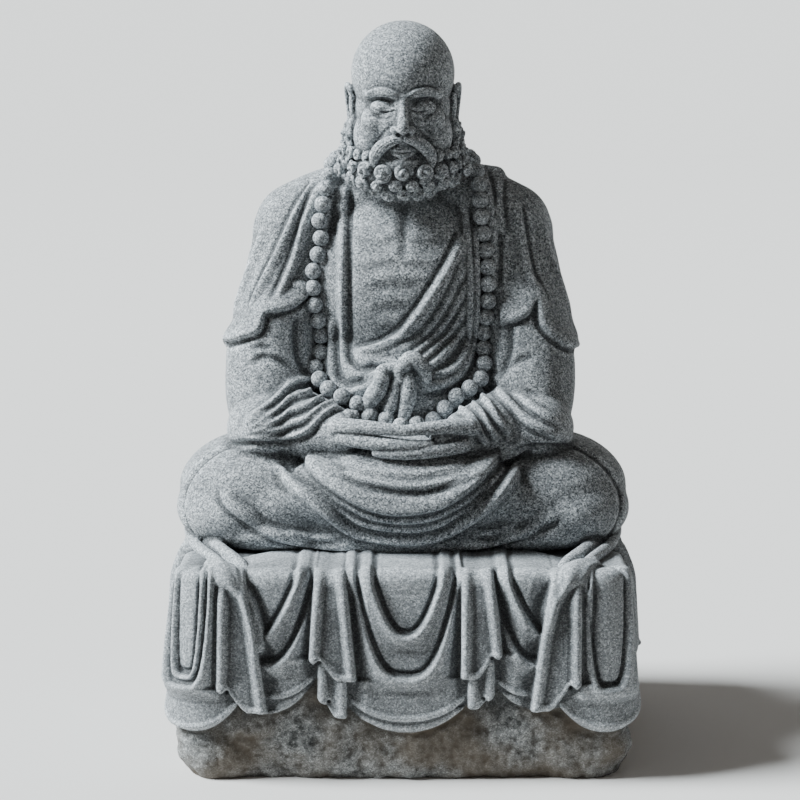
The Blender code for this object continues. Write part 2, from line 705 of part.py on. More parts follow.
def curls():
    """The curled beard, the locks before the ears and the curls round the nape, in heads."""
    made = []
    rows = [
        (0.15, 0.345, 0.30, 0.062, 40, 108, 5),
        (0.065, 0.365, 0.345, 0.068, 0, 104, 6),
        (-0.020, 0.335, 0.345, 0.066, 9, 92, 5),
        (-0.085, 0.230, 0.300, 0.055, 0, 72, 4),
    ]
    for up, wide, deep, radius, first, last, count in rows:
        for i in range(count):
            angle = math.radians(first + (last - first) * i / (count - 1))
            swell = radius * (1 + 0.10 * math.sin(5 * i + 40 * up))
            for side in (-1, 1) if angle else (1,):
                centre = (side * wide * math.sin(angle), -deep * math.cos(angle) - 0.02, up)
                made.append(ball(centre, [swell, swell, swell * 1.05]))
    for side in (-1, 1):
        for i in range(6):
            out = 0.345 + 0.012 * i + 0.012 * (i % 2)
            made.append(ball((side * out, 0.05 - 0.02 * i, 0.300 - 0.055 * i), (0.058, 0.068, 0.052)))
    for i in range(9):
        angle = math.radians(-80 + 20 * i)
        for up in (0.26, 0.15):
            made.append(
                ball((0.31 * math.sin(angle), 0.04 + 0.30 * math.cos(angle), up), (0.065, 0.065, 0.065))
            )
    return made


def socket_folds():
    """Hollows under the brows, in heads on the front view."""
    socket = [(0.050, 0.512), (0.10, 0.522), (0.16, 0.518), (0.215, 0.495)]
    return [fold(line, -0.034, 0.045, 0.050, 0.05) for line in (socket, flipped(socket))]


def face_folds():
    """Calm closed eyes, brows, nostrils, lips and moustache, in heads on the front view."""
    folds = []
    for line, height, left, right in (
        (
            [(0.060, 0.503), (0.09, 0.527), (0.135, 0.534), (0.185, 0.515), (0.207, 0.492)], -0.012,
            0.012, 0.012,
        ),
        ([(0.064, 0.472), (0.10, 0.457), (0.150, 0.456), (0.194, 0.474)], -0.012, 0.008, 0.012),
        ([(0.070, 0.447), (0.11, 0.430), (0.155, 0.432), (0.195, 0.450)], -0.006, 0.012, 0.014),
        ([(0.040, 0.583), (0.10, 0.612), (0.17, 0.612), (0.240, 0.575)], 0.012, 0.012, 0.026),
        ([(0.020, 0.335), (0.045, 0.333)], -0.014, 0.011, 0.011),
        ([(0.072, 0.380), (0.105, 0.335), (0.140, 0.270)], -0.008, 0.02, 0.02),
        ([(0.020, 0.300), (0.080, 0.284), (0.140, 0.225), (0.170, 0.150)], -0.006, 0.007, 0.007),
        ([(0.020, 0.287), (0.075, 0.266), (0.130, 0.205), (0.155, 0.140)], -0.006, 0.007, 0.007),
    ):
        folds += [fold(line, height, left, right, 0.02), fold(flipped(line), height, left, right, 0.02)]
    mouth = [(-0.088, 0.203), (-0.04, 0.203), (0, 0.199), (0.04, 0.203), (0.088, 0.203)]
    folds += [
        fold(mouth, -0.012, 0.007, 0.007, 0.02),
        fold([(0, 0.30), (0, 0.24)], -0.006, 0.014, 0.014, 0.02),
    ]
    for view, way in (("left", -1), ("right", 1)):
        bowl = [(way * 0.045, 0.53), (way * 0.065, 0.46), (way * 0.035, 0.38)]
        folds.append(fold(bowl, -0.022, 0.03, 0.03, 0.02, view))
    return folds


def head():
    """The bowed head, bald above with a curled beard."""
    form = fuse("head", head_masses(), HEAD_VOXEL, 0.026)
    carve(form, socket_folds(), HEAD_VOXEL / 2, 1, 0)
    form = fuse("head", [form, *features()], HEAD_VOXEL, 0.008)
    carve(form, face_folds(), HEAD_VOXEL / 2, 1, 0)
    form = fuse("head", [form, *curls()], HEAD_VOXEL)
    place = Matrix.Translation(at(*CHIN_PLACE)) @ Matrix.Rotation(math.radians(HEAD_BOW), 4, "X")
    form.data.transform(place @ Matrix.Scale(HEAD_SHARE * FIGURE_HEIGHT, 4))
    return form


def unroll(points):
    """Cloth coordinates on the seat: s round it from the front's middle, t down over its edge."""
    half_width, half_depth, corner = SEAT_WIDTH / 2, SEAT_DEPTH / 2, SEAT_CORNER
    flat_x, flat_y = half_width - corner, half_depth - corner
    x, y, z = np.abs(points[:, 0]), points[:, 1], points[:, 2]
    past_x, past_y = np.clip(x - flat_x, 0, None), np.clip(np.abs(y) - flat_y, 0, None)
    round_corner = (past_x > 0) & (past_y > 0)
    inset = np.minimum(half_width - x, half_depth - np.abs(y))
    inset = np.where(round_corner, corner - np.hypot(past_x, past_y), inset)
    arc = corner * math.pi / 2
    turned = corner * np.arctan2(past_x, past_y)
    on_side = half_width - x < half_depth - np.abs(y)
    s = np.where(on_side, flat_x + arc + y + flat_y, x)
    s = np.where(~on_side & (y > 0), 2 * flat_x + 2 * arc + 2 * flat_y - x, s)
    s = np.where(round_corner & (y < 0), flat_x + turned, s)
    s = np.where(round_corner & (y > 0), flat_x + arc + 2 * flat_y + arc - turned, s)
    return np.sign(points[:, 0]) * s, (SEAT_TOP - SWAG_THICKNESS - z) - np.clip(inset, 0, None)


def swag(left, right, hem, ridges):
    """Cloth that sags between two places. Depths are shares of the cloth's drop.

    Each ridge is a U: its half-width as a share of the swag's, its depth and how square it is.
    """
    return {"middle": (left + right) / 2, "half": (right - left) / 2, "hem": hem, "ridges": ridges}


def tab(top, bottom, hem, lift=1.0):
    """A fold that hangs in front: its left and right at the top and at the hem, and the hem's two depths."""
    return {"top": top, "bottom": bottom, "hem": hem, "lift": lift}


def front_hangings():
    """The front's cloth. Places are shares of the seat's width, depths of the cloth's drop."""
    swags = [
        swag(-0.515, -0.405, (0.72, 0.985, 1.0), [(0.86, 0.70, 5), (0.60, 0.64, 5)]),
        swag(-0.420, -0.190, (0.64, 0.79, 0.88), [(1.0, 0.56, 2.5), (0.66, 0.36, 1.5)]),
        swag(-0.185, 0.199, (0.62, 0.93, 1.0), [(0.62, 0.647, 2.9), (0.42, 0.377, 2.2)]),
        swag(0.190, 0.420, (0.64, 0.78, 0.86), [(1.0, 0.56, 2.5), (0.66, 0.36, 1.5)]),
        swag(0.400, 0.510, (0.72, 0.98, 1.0), [(0.86, 0.73, 5), (0.60, 0.67, 5)]),
    ]
    tabs = [
        tab((-0.183, -0.130), (-0.191, -0.124), (0.77, 0.90), 0.72),
        tab((0.148, 0.195), (0.144, 0.205), (0.84, 0.75), 0.72),
        tab((-0.408, -0.350), (-0.415, -0.302), (0.70, 0.85)),
        tab((-0.195, -0.128), (-0.212, -0.103), (0.51, 0.66)),
        tab((0.130, 0.200), (0.128, 0.226), (0.62, 0.48)),
        tab((0.330, 0.395), (0.283, 0.395), (0.85, 0.67)),
    ]
    for hanging in swags:
        hanging["middle"] *= SEAT_WIDTH
        hanging["half"] *= SEAT_WIDTH
    for hanging in tabs:
        hanging["top"] = [x * SEAT_WIDTH for x in hanging["top"]]
        hanging["bottom"] = [x * SEAT_WIDTH for x in hanging["bottom"]]
    return swags, tabs


def plain_hangings(start, end, count):
    """A stretch of the sides or back: tabs at even places with a swag between each two."""
    pitch = (end - start) / count
    swags, tabs = [], []
    for i in range(count):
        left = start + i * pitch
        deeper = i % 2
        swags.append(
            swag(
                left - 0.05 * pitch, left + 1.05 * pitch, (0.70, 0.86 + 0.08 * deeper, 0.95),
                [(0.94, 0.56, 2.6), (0.68, 0.36, 2.0)],
            )
        )
        if i:
            near, far = left - 0.13 * pitch, left + 0.13 * pitch
            tabs.append(
                tab(
                    (near, far), (near - 0.07 * pitch, far + 0.07 * pitch),
                    (0.74 - 0.12 * deeper, 0.62 + 0.1 * deeper),
                )
            )
    return swags, tabs


def hangings():
    """All the cloth round the seat, in metres from the front's middle."""
    flat_x, flat_y = SEAT_WIDTH / 2 - SEAT_CORNER, SEAT_DEPTH / 2 - SEAT_CORNER
    arc = SEAT_CORNER * math.pi / 2
    swags, tabs = front_hangings()
    side_start, side_end = 0.512 * SEAT_WIDTH, flat_x + 2 * arc + 2 * flat_y
    back_end = side_end + flat_x
    for way in (-1, 1):
        more_swags, more_tabs = plain_hangings(way * side_start, way * side_end, SIDE_SWAGS)
        swags += more_swags
        tabs += more_tabs
        more_swags, more_tabs = plain_hangings(way * side_end, way * back_end, BACK_SWAGS)
        swags += more_swags
        tabs += more_tabs
    return swags, tabs


def cloth_relief(s, t):
    """How far the cloth stands out from the block, and where there is cloth and not rock."""
    drop, soft, roll = CLOTH_DROP, SEAT_SOFT, SEAT_ROLL_WIDTH
    swags, tabs = hangings()
    cloth, under = np.zeros(len(s)), np.zeros(len(s))
    on_cloth, on_under = np.zeros(len(s)), np.zeros(len(s))
    for hanging in swags:
        half = abs(hanging["half"])
        aside = np.abs(s - hanging["middle"])
        sag = 1 - np.clip(aside / half, 0, 1) ** 2.2
        high, low, lowest = hanging["hem"]
        hem = drop * (high + (low - high) * sag)
        last = drop * (high + (lowest - high) * sag)
        height = np.full(len(s), SWAG_THICKNESS)
        for width, depth, square in hanging["ridges"]:
            reach = width * half
            x = np.clip(aside / reach, 0, 1)
            line = drop * depth * (1 - x**square)
            slope = drop * depth * square * x ** (square - 1) / reach
            across = (t - line) / np.sqrt(1 + slope**2)
            across = np.where(aside > reach, np.hypot(aside - reach, np.clip(across, 0, None)), across)
            across = np.where(t < 0, aside - reach, across)
            height = height + SEAT_FOLD * bump(across, np.where(across < 0, SEAT_STEEP, SEAT_GENTLE))
            height = height - FURROW * SEAT_FOLD * bump(across + 1.5 * SEAT_STEEP, SEAT_STEEP)
        height = height + HEM_ROLL * bump(t - hem + HEM_WIDTH, HEM_WIDTH)
        held = eased(half - aside, -soft, soft)
        shown = held * eased(hem - t, -soft, soft)
        cloth = np.maximum(cloth, height * shown)
        on_cloth = np.maximum(on_cloth, shown)
        on_under = np.maximum(on_under, held * eased(last - t, -soft, soft))
    relief = np.maximum(cloth, UNDER_THICKNESS * on_under)
    covered = np.maximum(on_cloth, on_under)
    around = eased(np.abs(s), 0.47 * SEAT_WIDTH, 0.52 * SEAT_WIDTH)
    relief = relief * (1 - around * (1 - SIDE_SNUG) * (1 - np.clip(t / drop, 0, 1)))
    for hanging in tabs:
        down = np.clip(t / (drop * max(hanging["hem"])), 0, 1) ** 0.8
        sides = sorted(zip(hanging["top"], hanging["bottom"]))
        left, right = (a + (b - a) * down for a, b in sides)
        share = np.clip((s - left) / (right - left), 0, 1)
        first, second = hanging["hem"]
        hem = drop * (first + (second - first) * eased(share, 0.1, 0.9))
        edge = np.minimum(s - left, right - s)
        rolls = bump(s - left - 0.5 * roll, roll) + bump(right - s - 0.5 * roll, roll)
        height = TAB_THICKNESS * (0.5 + 0.5 * eased(t, -0.01, 0.03)) + 0.6 * SEAT_FOLD * rolls
        above_hem = eased(hem - t, -soft, soft)
        shown = eased(edge, -soft, soft) * above_hem
        beside = eased(edge, -2.2 * roll, -0.3 * roll) * (1 - shown) * above_hem
        relief = relief - 0.7 * SEAT_FOLD * beside * eased(t, -0.02, 0.02)
        relief = relief + (hanging["lift"] * height - relief) * shown
        for place in (left + 0.5 * roll, right - 0.5 * roll):
            relief = relief - SEAT_CURL * bump(np.hypot(s - place, t - hem + SEAT_CURL), SEAT_CURL)
        covered = np.maximum(covered, shown)
    return relief, covered


def lumps(points):
    """Rough rock, as smooth noise between -1 and 1."""
    return np.array([noise.fractal(Vector(p) / ROCK_LUMP_SPAN, 0.9, 2.1, 4) for p in points])


def seat():
    """The block under the figure: cloth over its edge above, rough rock below."""
    top = SEAT_TOP - SWAG_THICKNESS
    bpy.ops.mesh.primitive_cube_add(size=1)
    block = bpy.context.object
    block.data.transform(Matrix.Diagonal((SEAT_WIDTH, SEAT_DEPTH, top + SUNK, 1)))
    block.data.transform(Matrix.Translation((0, 0, (top - SUNK) / 2)))
    shape = bmesh.new()
    shape.from_mesh(block.data)
    upright = [e for e in shape.edges if abs(e.verts[0].co.z - e.verts[1].co.z) > SEAT_TOP / 2]
    bmesh.ops.bevel(shape, geom=upright, offset=SEAT_CORNER, segments=10, profile=0.5, affect="EDGES")
    shape.to_mesh(block.data)
    shape.free()
    form = fuse("seat", [block], FINE_VOXEL, SEAT_EDGE)
    points, normals = points_of(form)
    s, t = unroll(points)
    relief, covered = cloth_relief(s, t)
    on_rock = 1 - covered
    drawn_in = ROCK_FOOT * np.clip(1 - points[:, 2] / ROCK_FOOT_HEIGHT, 0, 1.3) ** 2
    flare = FLARE * np.clip(t, 0, CLOTH_DROP) * covered
    relief = relief + flare + on_rock * (ROCK_LUMP * lumps(points) + ROCK_OUT - drawn_in)
    move_out(form, points, normals, relief * (normals[:, 2] > -0.5))
    return form


def clear_scene():
    for found in list(bpy.data.objects):
        bpy.data.objects.remove(found)


def cut_flat(form):
    """Cuts the carving off at the ground and closes the cut."""
    shape = bmesh.new()
    shape.from_mesh(form.data)
    geometry = shape.verts[:] + shape.edges[:] + shape.faces[:]
    down = (0, 0, -1)
    cut = bmesh.ops.bisect_plane(
        shape, geom=geometry, plane_co=(0, 0, 0), plane_no=down, clear_outer=True,
    )
    rim = [e for e in cut["geom_cut"] if isinstance(e, bmesh.types.BMEdge)]
    bmesh.ops.contextual_create(shape, geom=rim)
    shape.to_mesh(form.data)
    shape.free()


def thin_out(form, faces):
    """Fewer, larger triangles where the carving is plain."""
    now = sum(len(p.vertices) - 2 for p in form.data.polygons)
    reduce = form.modifiers.new("thin out", "DECIMATE")
    reduce.ratio = faces / now
    reduce.use_collapse_triangulate = True
    settle(form)
    for vertex in form.data.vertices:
        if vertex.co.z < 0.0005:
            vertex.co.z = 0


def granite():
    stone = bpy.data.materials.new("granite")
    stone.use_nodes = True
    shader = stone.node_tree.nodes["Principled BSDF"]
    shader.inputs["Base Color"].default_value = GRANITE_COLOUR
    shader.inputs["Roughness"].default_value = GRANITE_ROUGHNESS
    shader.inputs["Metallic"].default_value = 0
    return stone


def main():
    clear_scene()
    body = figure()
    robe = fuse("robe", [body, *knot(body_tree(body))], FINE_VOXEL)
    beads = rosary(body_tree(robe))
    carved = [robe, *hems_on_seat(), *hands(), *beads, head(), seat()]
    statue = fuse("statue", carved, FINE_VOXEL)
    cut_flat(statue)
    thin_out(statue, FACES)
    statue.data.materials.append(granite())
    statue.data.shade_smooth()
    statue.data.set_sharp_from_angle(angle=math.radians(50))
    collection = bpy.data.collections.new("seated monk statue")
    bpy.context.scene.collection.children.link(collection)
    bpy.context.scene.collection.objects.unlink(statue)
    collection.objects.link(statue)


main()
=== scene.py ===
"""The looks of a carved granite statue: a monk in meditation on a draped block above rough rock.

Every form keeps the place and size of the frame's one solid. The carving is done as a
carver would: large masses first, then folds pressed along smooth lines, then beads,
curls and fingers. The stone is one granite, with painted shade in its creases and hollows,
partly dirt, a painted highlight on its ridges, partly wear, and brown dirt on the
split rock below. +X is the viewer's right, +Y the back and +Z up.
"""

import math
from contextlib import contextmanager

import bmesh
import bpy
import numpy as np
from mathutils import Euler, Matrix, Vector, noise
from mathutils.bvhtree import BVHTree


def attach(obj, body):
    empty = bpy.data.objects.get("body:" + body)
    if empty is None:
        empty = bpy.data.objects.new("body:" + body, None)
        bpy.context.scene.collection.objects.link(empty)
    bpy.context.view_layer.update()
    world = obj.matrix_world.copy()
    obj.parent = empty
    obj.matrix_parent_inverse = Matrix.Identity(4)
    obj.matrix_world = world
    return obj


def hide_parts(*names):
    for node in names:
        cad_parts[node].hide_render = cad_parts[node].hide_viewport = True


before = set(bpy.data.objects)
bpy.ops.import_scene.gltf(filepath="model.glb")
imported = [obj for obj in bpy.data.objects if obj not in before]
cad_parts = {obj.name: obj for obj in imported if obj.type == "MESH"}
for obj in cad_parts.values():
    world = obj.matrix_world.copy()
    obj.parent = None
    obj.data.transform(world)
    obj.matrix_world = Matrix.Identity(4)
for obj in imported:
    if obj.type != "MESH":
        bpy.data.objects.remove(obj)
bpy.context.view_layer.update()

# Driving sizes, in metres
FIGURE_HEIGHT = 0.572
SEAT_WIDTH = 0.474
SEAT_DEPTH = 0.390
SEAT_TOP = 0.228
SEAT_CORNER = 0.034
SEAT_EDGE = 0.005

# The cloth over the seat, in metres
CLOTH_DROP = 0.164
SWAG_THICKNESS = 0.009
UNDER_THICKNESS = 0.005
TAB_THICKNESS = 0.015
SEAT_FOLD = 0.008
SEAT_ROLL_WIDTH = 0.010
SEAT_STEEP = 0.0045
SEAT_GENTLE = 0.018
SEAT_CURL = 0.0035
CURL_DROP = 0.005
HEM_ROLL = 0.002
HEM_WIDTH = 0.005
SEAT_SOFT = 0.0016

# How much the cloth flares on its way down, and how close its top lies at the sides, as shares
FLARE = 0.06
SIDE_SNUG = 0.45

# Where the sides' cloth takes over and hangs close, in shares of the seat's width, and its swags
SIDE_START = 0.512
SNUG_START = 0.47
SNUG_END = 0.52
SIDE_SWAGS = 3
BACK_SWAGS = 2

# The rough rock under the cloth: its lumps, and how its foot draws in
ROCK_LUMP = 0.007
ROCK_LUMP_SPAN = 0.045
ROCK_OUT = 0.007
ROCK_FOOT = 0.014
ROCK_FOOT_HEIGHT = 0.034

# The head from chin to crown and its chin's place, in shares of the figure's height, and its bow in degrees
HEAD_SHARE = 0.288
CHIN_PLACE = (0, -0.014, 0.715)
HEAD_BOW = 10

# The rosary: its beads' diameter and spacing, and how far they stand out as a share of the diameter
BEAD = 0.0185
BEAD_PITCH = 0.0186
BEAD_LIFT = 0.36

# The furrow beside a fold's steep side, as a share of the fold's height
FURROW = 0.45

# How far the block is modelled below the ground, where the whole is cut off flat
SUNK = 0.012

# How finely each piece is fused, the head's as a share of its height
BODY_VOXEL = 0.0017
SEAT_VOXEL = 0.0017
HAND_VOXEL = 0.0010
HEAD_VOXEL = 0.0052

# How wide the creases between masses are that get rounded, for the head in shares of its height
BODY_SOFT = 0.010
HAND_SOFT = 0.0012
HEAD_SOFT = 0.034
FEATURE_SOFT = 0.008

# The most triangles that a piece keeps
PIECE_FACES = 195000

# The camera, in metres, degrees and millimetres
CAMERA_BACK = 2.6
CAMERA_UP = 0.745
CAMERA_DOWN = 7.99
CAMERA_LENS = 105.13
CAMERA_SHIFT = -0.00375

# Where the floor begins to sweep up behind, and the sweep's radius, in metres
SWEEP_START = 4.0
SWEEP = 3.0
# The sweep's end slope in degrees, its steps, the floor's half width and the slope's length
SWEEP_SLOPE = 32
SWEEP_STEPS = 12
FLOOR_HALF = 20
SLOPE_LENGTH = 12

# How high the dark cards lie
CARD_LIFT = 0.001

# How wide the creases and the hollows are that get painted shade, partly standing for dirt
CREASE_SPAN = 0.004
HOLLOW_SPAN = 0.014

# What the rock's colour is multiplied by, as it is duller than the dressed stone
ROCK_TONE = (0.68, 0.66, 0.63, 1)


def at(x, y, z):
    """A point of the figure, in shares of its height from the middle of the seat's top."""
    return Vector((x, y, z)) * FIGURE_HEIGHT + Vector((0, 0, SEAT_TOP))


def new_object(name, mesh):
    made = bpy.data.objects.new(name, mesh)
    bpy.context.scene.collection.objects.link(made)
    return made


@contextmanager
def edited(mesh):
    """The mesh as a BMesh, which is written back at the end."""
    shape = bmesh.new()
    shape.from_mesh(mesh)
    yield shape
    shape.to_mesh(mesh)
    shape.free()


def ball(centre, radii, turn=(0, 0, 0)):
    """An ellipsoid. Its centre and radii are in metres and its turn in degrees."""
    angles = Euler([math.radians(a) for a in turn])
    place = Matrix.LocRotScale(centre, angles, Vector(radii))
    mesh = bpy.data.meshes.new("ball")
    with edited(mesh) as shape:
        bmesh.ops.create_uvsphere(shape, u_segments=48, v_segments=24, radius=1)
        bmesh.ops.transform(shape, matrix=place, verts=shape.verts)
    return new_object("ball", mesh)


def as_shown(form):
    """A new mesh of the object as it shows, with its modifiers applied."""
    bpy.context.view_layer.update()
    graph = bpy.context.evaluated_depsgraph_get()
    return bpy.data.meshes.new_from_object(form.evaluated_get(graph))


def limb(points, radii):
    """A round tube through the points that swells and thins, with a ball at each end."""
    curve = bpy.data.curves.new("limb", "CURVE")
    curve.dimensions = "3D"
    curve.bevel_depth = 1
    curve.bevel_resolution = 6
    curve.use_fill_caps = True
    curve.resolution_u = 10
    spline = curve.splines.new("NURBS")
    spline.points.add(len(points) - 1)
    for knot, point, radius in zip(spline.points, points, radii):
        knot.co = (*point, 1)
        knot.radius = radius
    spline.use_endpoint_u = True
    spline.order_u = min(4, len(points))
    tube = new_object("limb", curve)
    mesh = as_shown(tube)
    bpy.data.objects.remove(tube)
    with edited(mesh) as shape:
        bmesh.ops.remove_doubles(shape, verts=shape.verts, dist=1e-6)
    ends = [ball(points[i], [radii[i]] * 3) for i in (0, -1)]
    return joined("limb", [new_object("limb", mesh), *ends])


def joined(name, objects):
    """One object that holds all the meshes, which it uses up."""
    mesh = bpy.data.meshes.new(name)
    with edited(mesh) as shape:
        for part in objects:
            shape.from_mesh(part.data)
            bpy.data.objects.remove(part)
    return new_object(name, mesh)


def settle(form):
    """Applies the modifiers of an object to its mesh."""
    form.data = as_shown(form)
    form.modifiers.clear()
    return form


def fuse(name, objects, voxel, soften=0.0):
    """The objects as one skin. Creases narrower than soften are rounded off."""
    form = joined(name, objects)
    remesh = form.modifiers.new("fuse", "REMESH")
    remesh.mode = "VOXEL"
    remesh.voxel_size = voxel
    if soften:
        smooth = form.modifiers.new("soften", "SMOOTH")
        smooth.factor = 0.5
        smooth.iterations = max(1, round(2 * (soften / voxel) ** 2))
    return settle(form)


def eased(x, low, high):
    """0 below low, 1 above high and smooth between them."""
    share = np.clip((x - low) / (high - low), 0, 1)
    return share * share * (3 - 2 * share)


def bump(distance, width):
    """A round ridge, 1 on its line and 0 from width on."""
    return 0.5 + 0.5 * np.cos(np.pi * np.clip(np.abs(distance) / width, 0, 1))


def points_of(form):
    """The object's vertices and their normals, as arrays."""
    count = len(form.data.vertices)
    points, normals = np.empty(count * 3), np.empty(count * 3)
    form.data.vertices.foreach_get("co", points)
    form.data.vertex_normals.foreach_get("vector", normals)
    return points.reshape(-1, 3), normals.reshape(-1, 3)


def surface_of(form):
    """The object's surface, as a tree in which rays and nearest points are looked up."""
    points, _ = points_of(form)
    return BVHTree.FromPolygons(points.tolist(), [p.vertices[:] for p in form.data.polygons])


def move_out(form, points, normals, amount):
    """Moves each vertex along its normal."""
    form.data.vertices.foreach_set("co", (points + normals * amount[:, None]).ravel())
    form.data.update()


def run_along(path):
    """How far along the path each of its points lies."""
    return np.concatenate([[0], np.cumsum(np.linalg.norm(np.diff(path, axis=0), axis=1))])


def smooth_line(points, spacing):
    """Even points along a smooth curve that passes through the given ones."""
    knots = np.array(points, float)
    before, after = 2 * knots[0] - knots[1], 2 * knots[-1] - knots[-2]
    padded = np.vstack([before, knots, after])
    dense = []
    for i in range(1, len(padded) - 2):
        a, b, c, d = padded[i - 1 : i + 3]
        u = np.linspace(0, 1, 24, endpoint=False)[:, None]
        bend, twist = 2 * a - 5 * b + 4 * c - d, 3 * b - a - 3 * c + d
        dense.append(0.5 * (2 * b + (c - a) * u + bend * u**2 + twist * u**3))
    dense = np.vstack([*dense, knots[-1:]])
    run = run_along(dense)
    count = max(3, int(run[-1] / spacing) + 1)
    even = np.linspace(0, run[-1], count)
    return np.column_stack([np.interp(even, run, dense[:, i]) for i in range(dense.shape[1])])


VIEWS = {"front": (0, 1), "back": (0, -1), "left": (1, 0), "right": (-1, 0)}


def traced(tree, line, spacing, view="front"):
    """A line drawn on a view, in (across, up) as that view shows them, as points on the surface."""
    ahead = Vector((*VIEWS[view], 0))
    rightward = ahead.cross(Vector((0, 0, 1)))
    found = []
    for across, up in smooth_line(line, spacing):
        start = rightward * across + Vector((0, 0, up)) - ahead
        point, normal, _, _ = tree.ray_cast(start, ahead)
        if point is None:
            previous = found[-1][0] if found else start + ahead
            point, normal, _, _ = tree.find_nearest(start + ahead * (previous - start).dot(ahead))
        found.append((point, normal))
    return found


def between(first, last, share):
    """The line a share of the way from the first to the last, which have as many points."""
    return [tuple(a + (b - a) * share for a, b in zip(p, q)) for p, q in zip(first, last)]


def family(first, last, count):
    """Lines that pass evenly from the first to the last."""
    return [between(first, last, i / (count - 1)) for i in range(count)]


def flipped(line):
    """The line's mirror image, drawn the other way so that its left side stays its left side."""
    return [(-x, z) for x, z in reversed(line)]


def drawn(*numbers):
    """The points of a line drawn on a view: across, up, across, up and so on, in thousandths."""
    return [(across / 1000, up / 1000) for across, up in zip(numbers[::2], numbers[1::2])]


def fold(line, height, left, right, taper=0.035, view="front"):
    """A ridge along a drawn line, or a groove where its height is negative, and its two widths."""
    return {"line": line, "height": height, "left": left, "right": right, "taper": taper, "view": view}


def carve(form, folds, spacing, unit, base):
    """Presses the folds into the form. Their sizes are in units, and up is measured from the base."""
    points, normals = points_of(form)
    tree = surface_of(form)
    ridges, grooves = np.zeros(len(points)), np.zeros(len(points))
    for stroke in folds:
        line = [(across * unit, up * unit + base) for across, up in stroke["line"]]
        found = traced(tree, line, spacing, stroke["view"])
        path = np.array([p for p, _ in found])
        out = np.array([n for _, n in found])
        along = np.gradient(path, axis=0)
        along /= np.linalg.norm(along, axis=1)[:, None] + 1e-12
        leftward = np.cross(out, along)
        run = run_along(path)
        left, right, taper = stroke["left"] * unit, stroke["right"] * unit, stroke["taper"] * unit
        narrow = min(left, right)
        reach = max(left, right, 2.5 * narrow)
        near = np.all((points > path.min(axis=0) - reach) & (points < path.max(axis=0) + reach), axis=1)
        chosen = np.nonzero(near)[0]
        for part in np.array_split(chosen, len(chosen) // 4000 + 1):
            apart = points[part][:, None, :] - path[None]
            nearest = np.argmin((apart**2).sum(axis=2), axis=1)
            offset = apart[np.arange(len(part)), nearest]
            distance = np.linalg.norm(offset, axis=1)
            on_left = (offset * leftward[nearest]).sum(axis=1) > 0
            facing = (normals[part] * out[nearest]).sum(axis=1) > 0
            ends = eased(run[nearest], -spacing, taper) * eased(run[-1] - run[nearest], -spacing, taper)
            profile = bump(distance, np.where(on_left, left, right))
            if stroke["height"] > 0 and left != right:
                steep = on_left == (left < right)
                profile = profile - FURROW * bump(distance - 1.5 * narrow, narrow) * steep
            rise = stroke["height"] * unit * profile * ends * facing
            ridges[part] = np.maximum(ridges[part], rise)
            grooves[part] = np.minimum(grooves[part], rise)
    move_out(form, points, normals, ridges + grooves)
    return form


def mass(centre, radii, turn=(0, 0, 0)):
    """An ellipsoid of the figure, in shares of its height."""
    return ball(at(*centre), [radius * FIGURE_HEIGHT for radius in radii], turn)


def roll(points, radii):
    """A limb of the figure, in shares of its height."""
    return limb([at(*point) for point in points], [radius * FIGURE_HEIGHT for radius in radii])


def sided(side, points):
    """The points on one side, 1 for the right, where they are given, and -1 for the left."""
    return [(side * x, y, z) for x, y, z in points]


def figure_masses():
    """The clothed body without its folds: legs, trunk, arms, sleeves and the cape over the shoulders."""
    shoulders = [(-0.205, 0.07, 0.602), (-0.09, 0.09, 0.668), (0.09, 0.09, 0.668), (0.205, 0.07, 0.602)]
    shins = [(-0.27, -0.07, 0.05), (-0.1, -0.165, 0.035), (0.1, -0.165, 0.035), (0.27, -0.07, 0.05)]
    middle = [
        mass((0, 0.05, 0.27), (0.20, 0.15, 0.21)),
        mass((0, 0.05, 0.49), (0.20, 0.135, 0.20)),
        mass((0, 0.11, 0.38), (0.25, 0.125, 0.34)),
        roll(shoulders, [0.088, 0.09, 0.09, 0.088]),
        roll([(0, 0.055, 0.66), (0, 0.01, 0.80)], [0.09, 0.072]),
        mass((0, 0.0, 0.075), (0.36, 0.19, 0.105)),
        mass((0, 0.13, 0.12), (0.30, 0.14, 0.13)),
        mass((0, -0.12, 0.095), (0.22, 0.125, 0.09)),
        roll(shins, [0.07, 0.060, 0.060, 0.07]),
    ]

    def arm(side):
        route = [
            (0.20, 0.06, 0.60), (0.225, 0.05, 0.50), (0.260 - 0.004 * side, 0.02, 0.37),
            (0.252 - 0.008 * side, -0.01, 0.20), (0.19, -0.10, 0.235), (0.12, -0.15, 0.225),
        ]
        return roll(sided(side, route), [0.08, 0.085, 0.09, 0.095, 0.07, 0.045])

    def cape(side):
        route = [(0.195, 0.07, 0.590), (0.235, 0.06, 0.47), (0.275, 0.05, 0.39)]
        return roll(sided(side, route), [0.09, 0.085, 0.068])

    def sleeve(side):
        across = side * (0.240 - 0.005 * side)
        return mass((across, -0.04, 0.225), (0.095, 0.12, 0.075), (0, side * 8, side * 20))

    def knee(side):
        return mass((side * 0.275, -0.015, 0.103), (0.164, 0.165, 0.102))

    def under_knee(side):
        return mass((side * 0.312, -0.045, 0.065), (0.131, 0.145, 0.085))

    def shin(side):
        return mass((side * 0.14, -0.09, 0.080), (0.25, 0.105, 0.080), (0, 0, side * 14))

    makers = (arm, cape, sleeve, knee, under_knee, shin)
    sides = [make(side) for make in makers for side in (-1, 1)]
    return [*middle, *sides, roll([(0.13, 0.07, 0.70), (0.185, 0.06, 0.705)], [0.03, 0.018])]


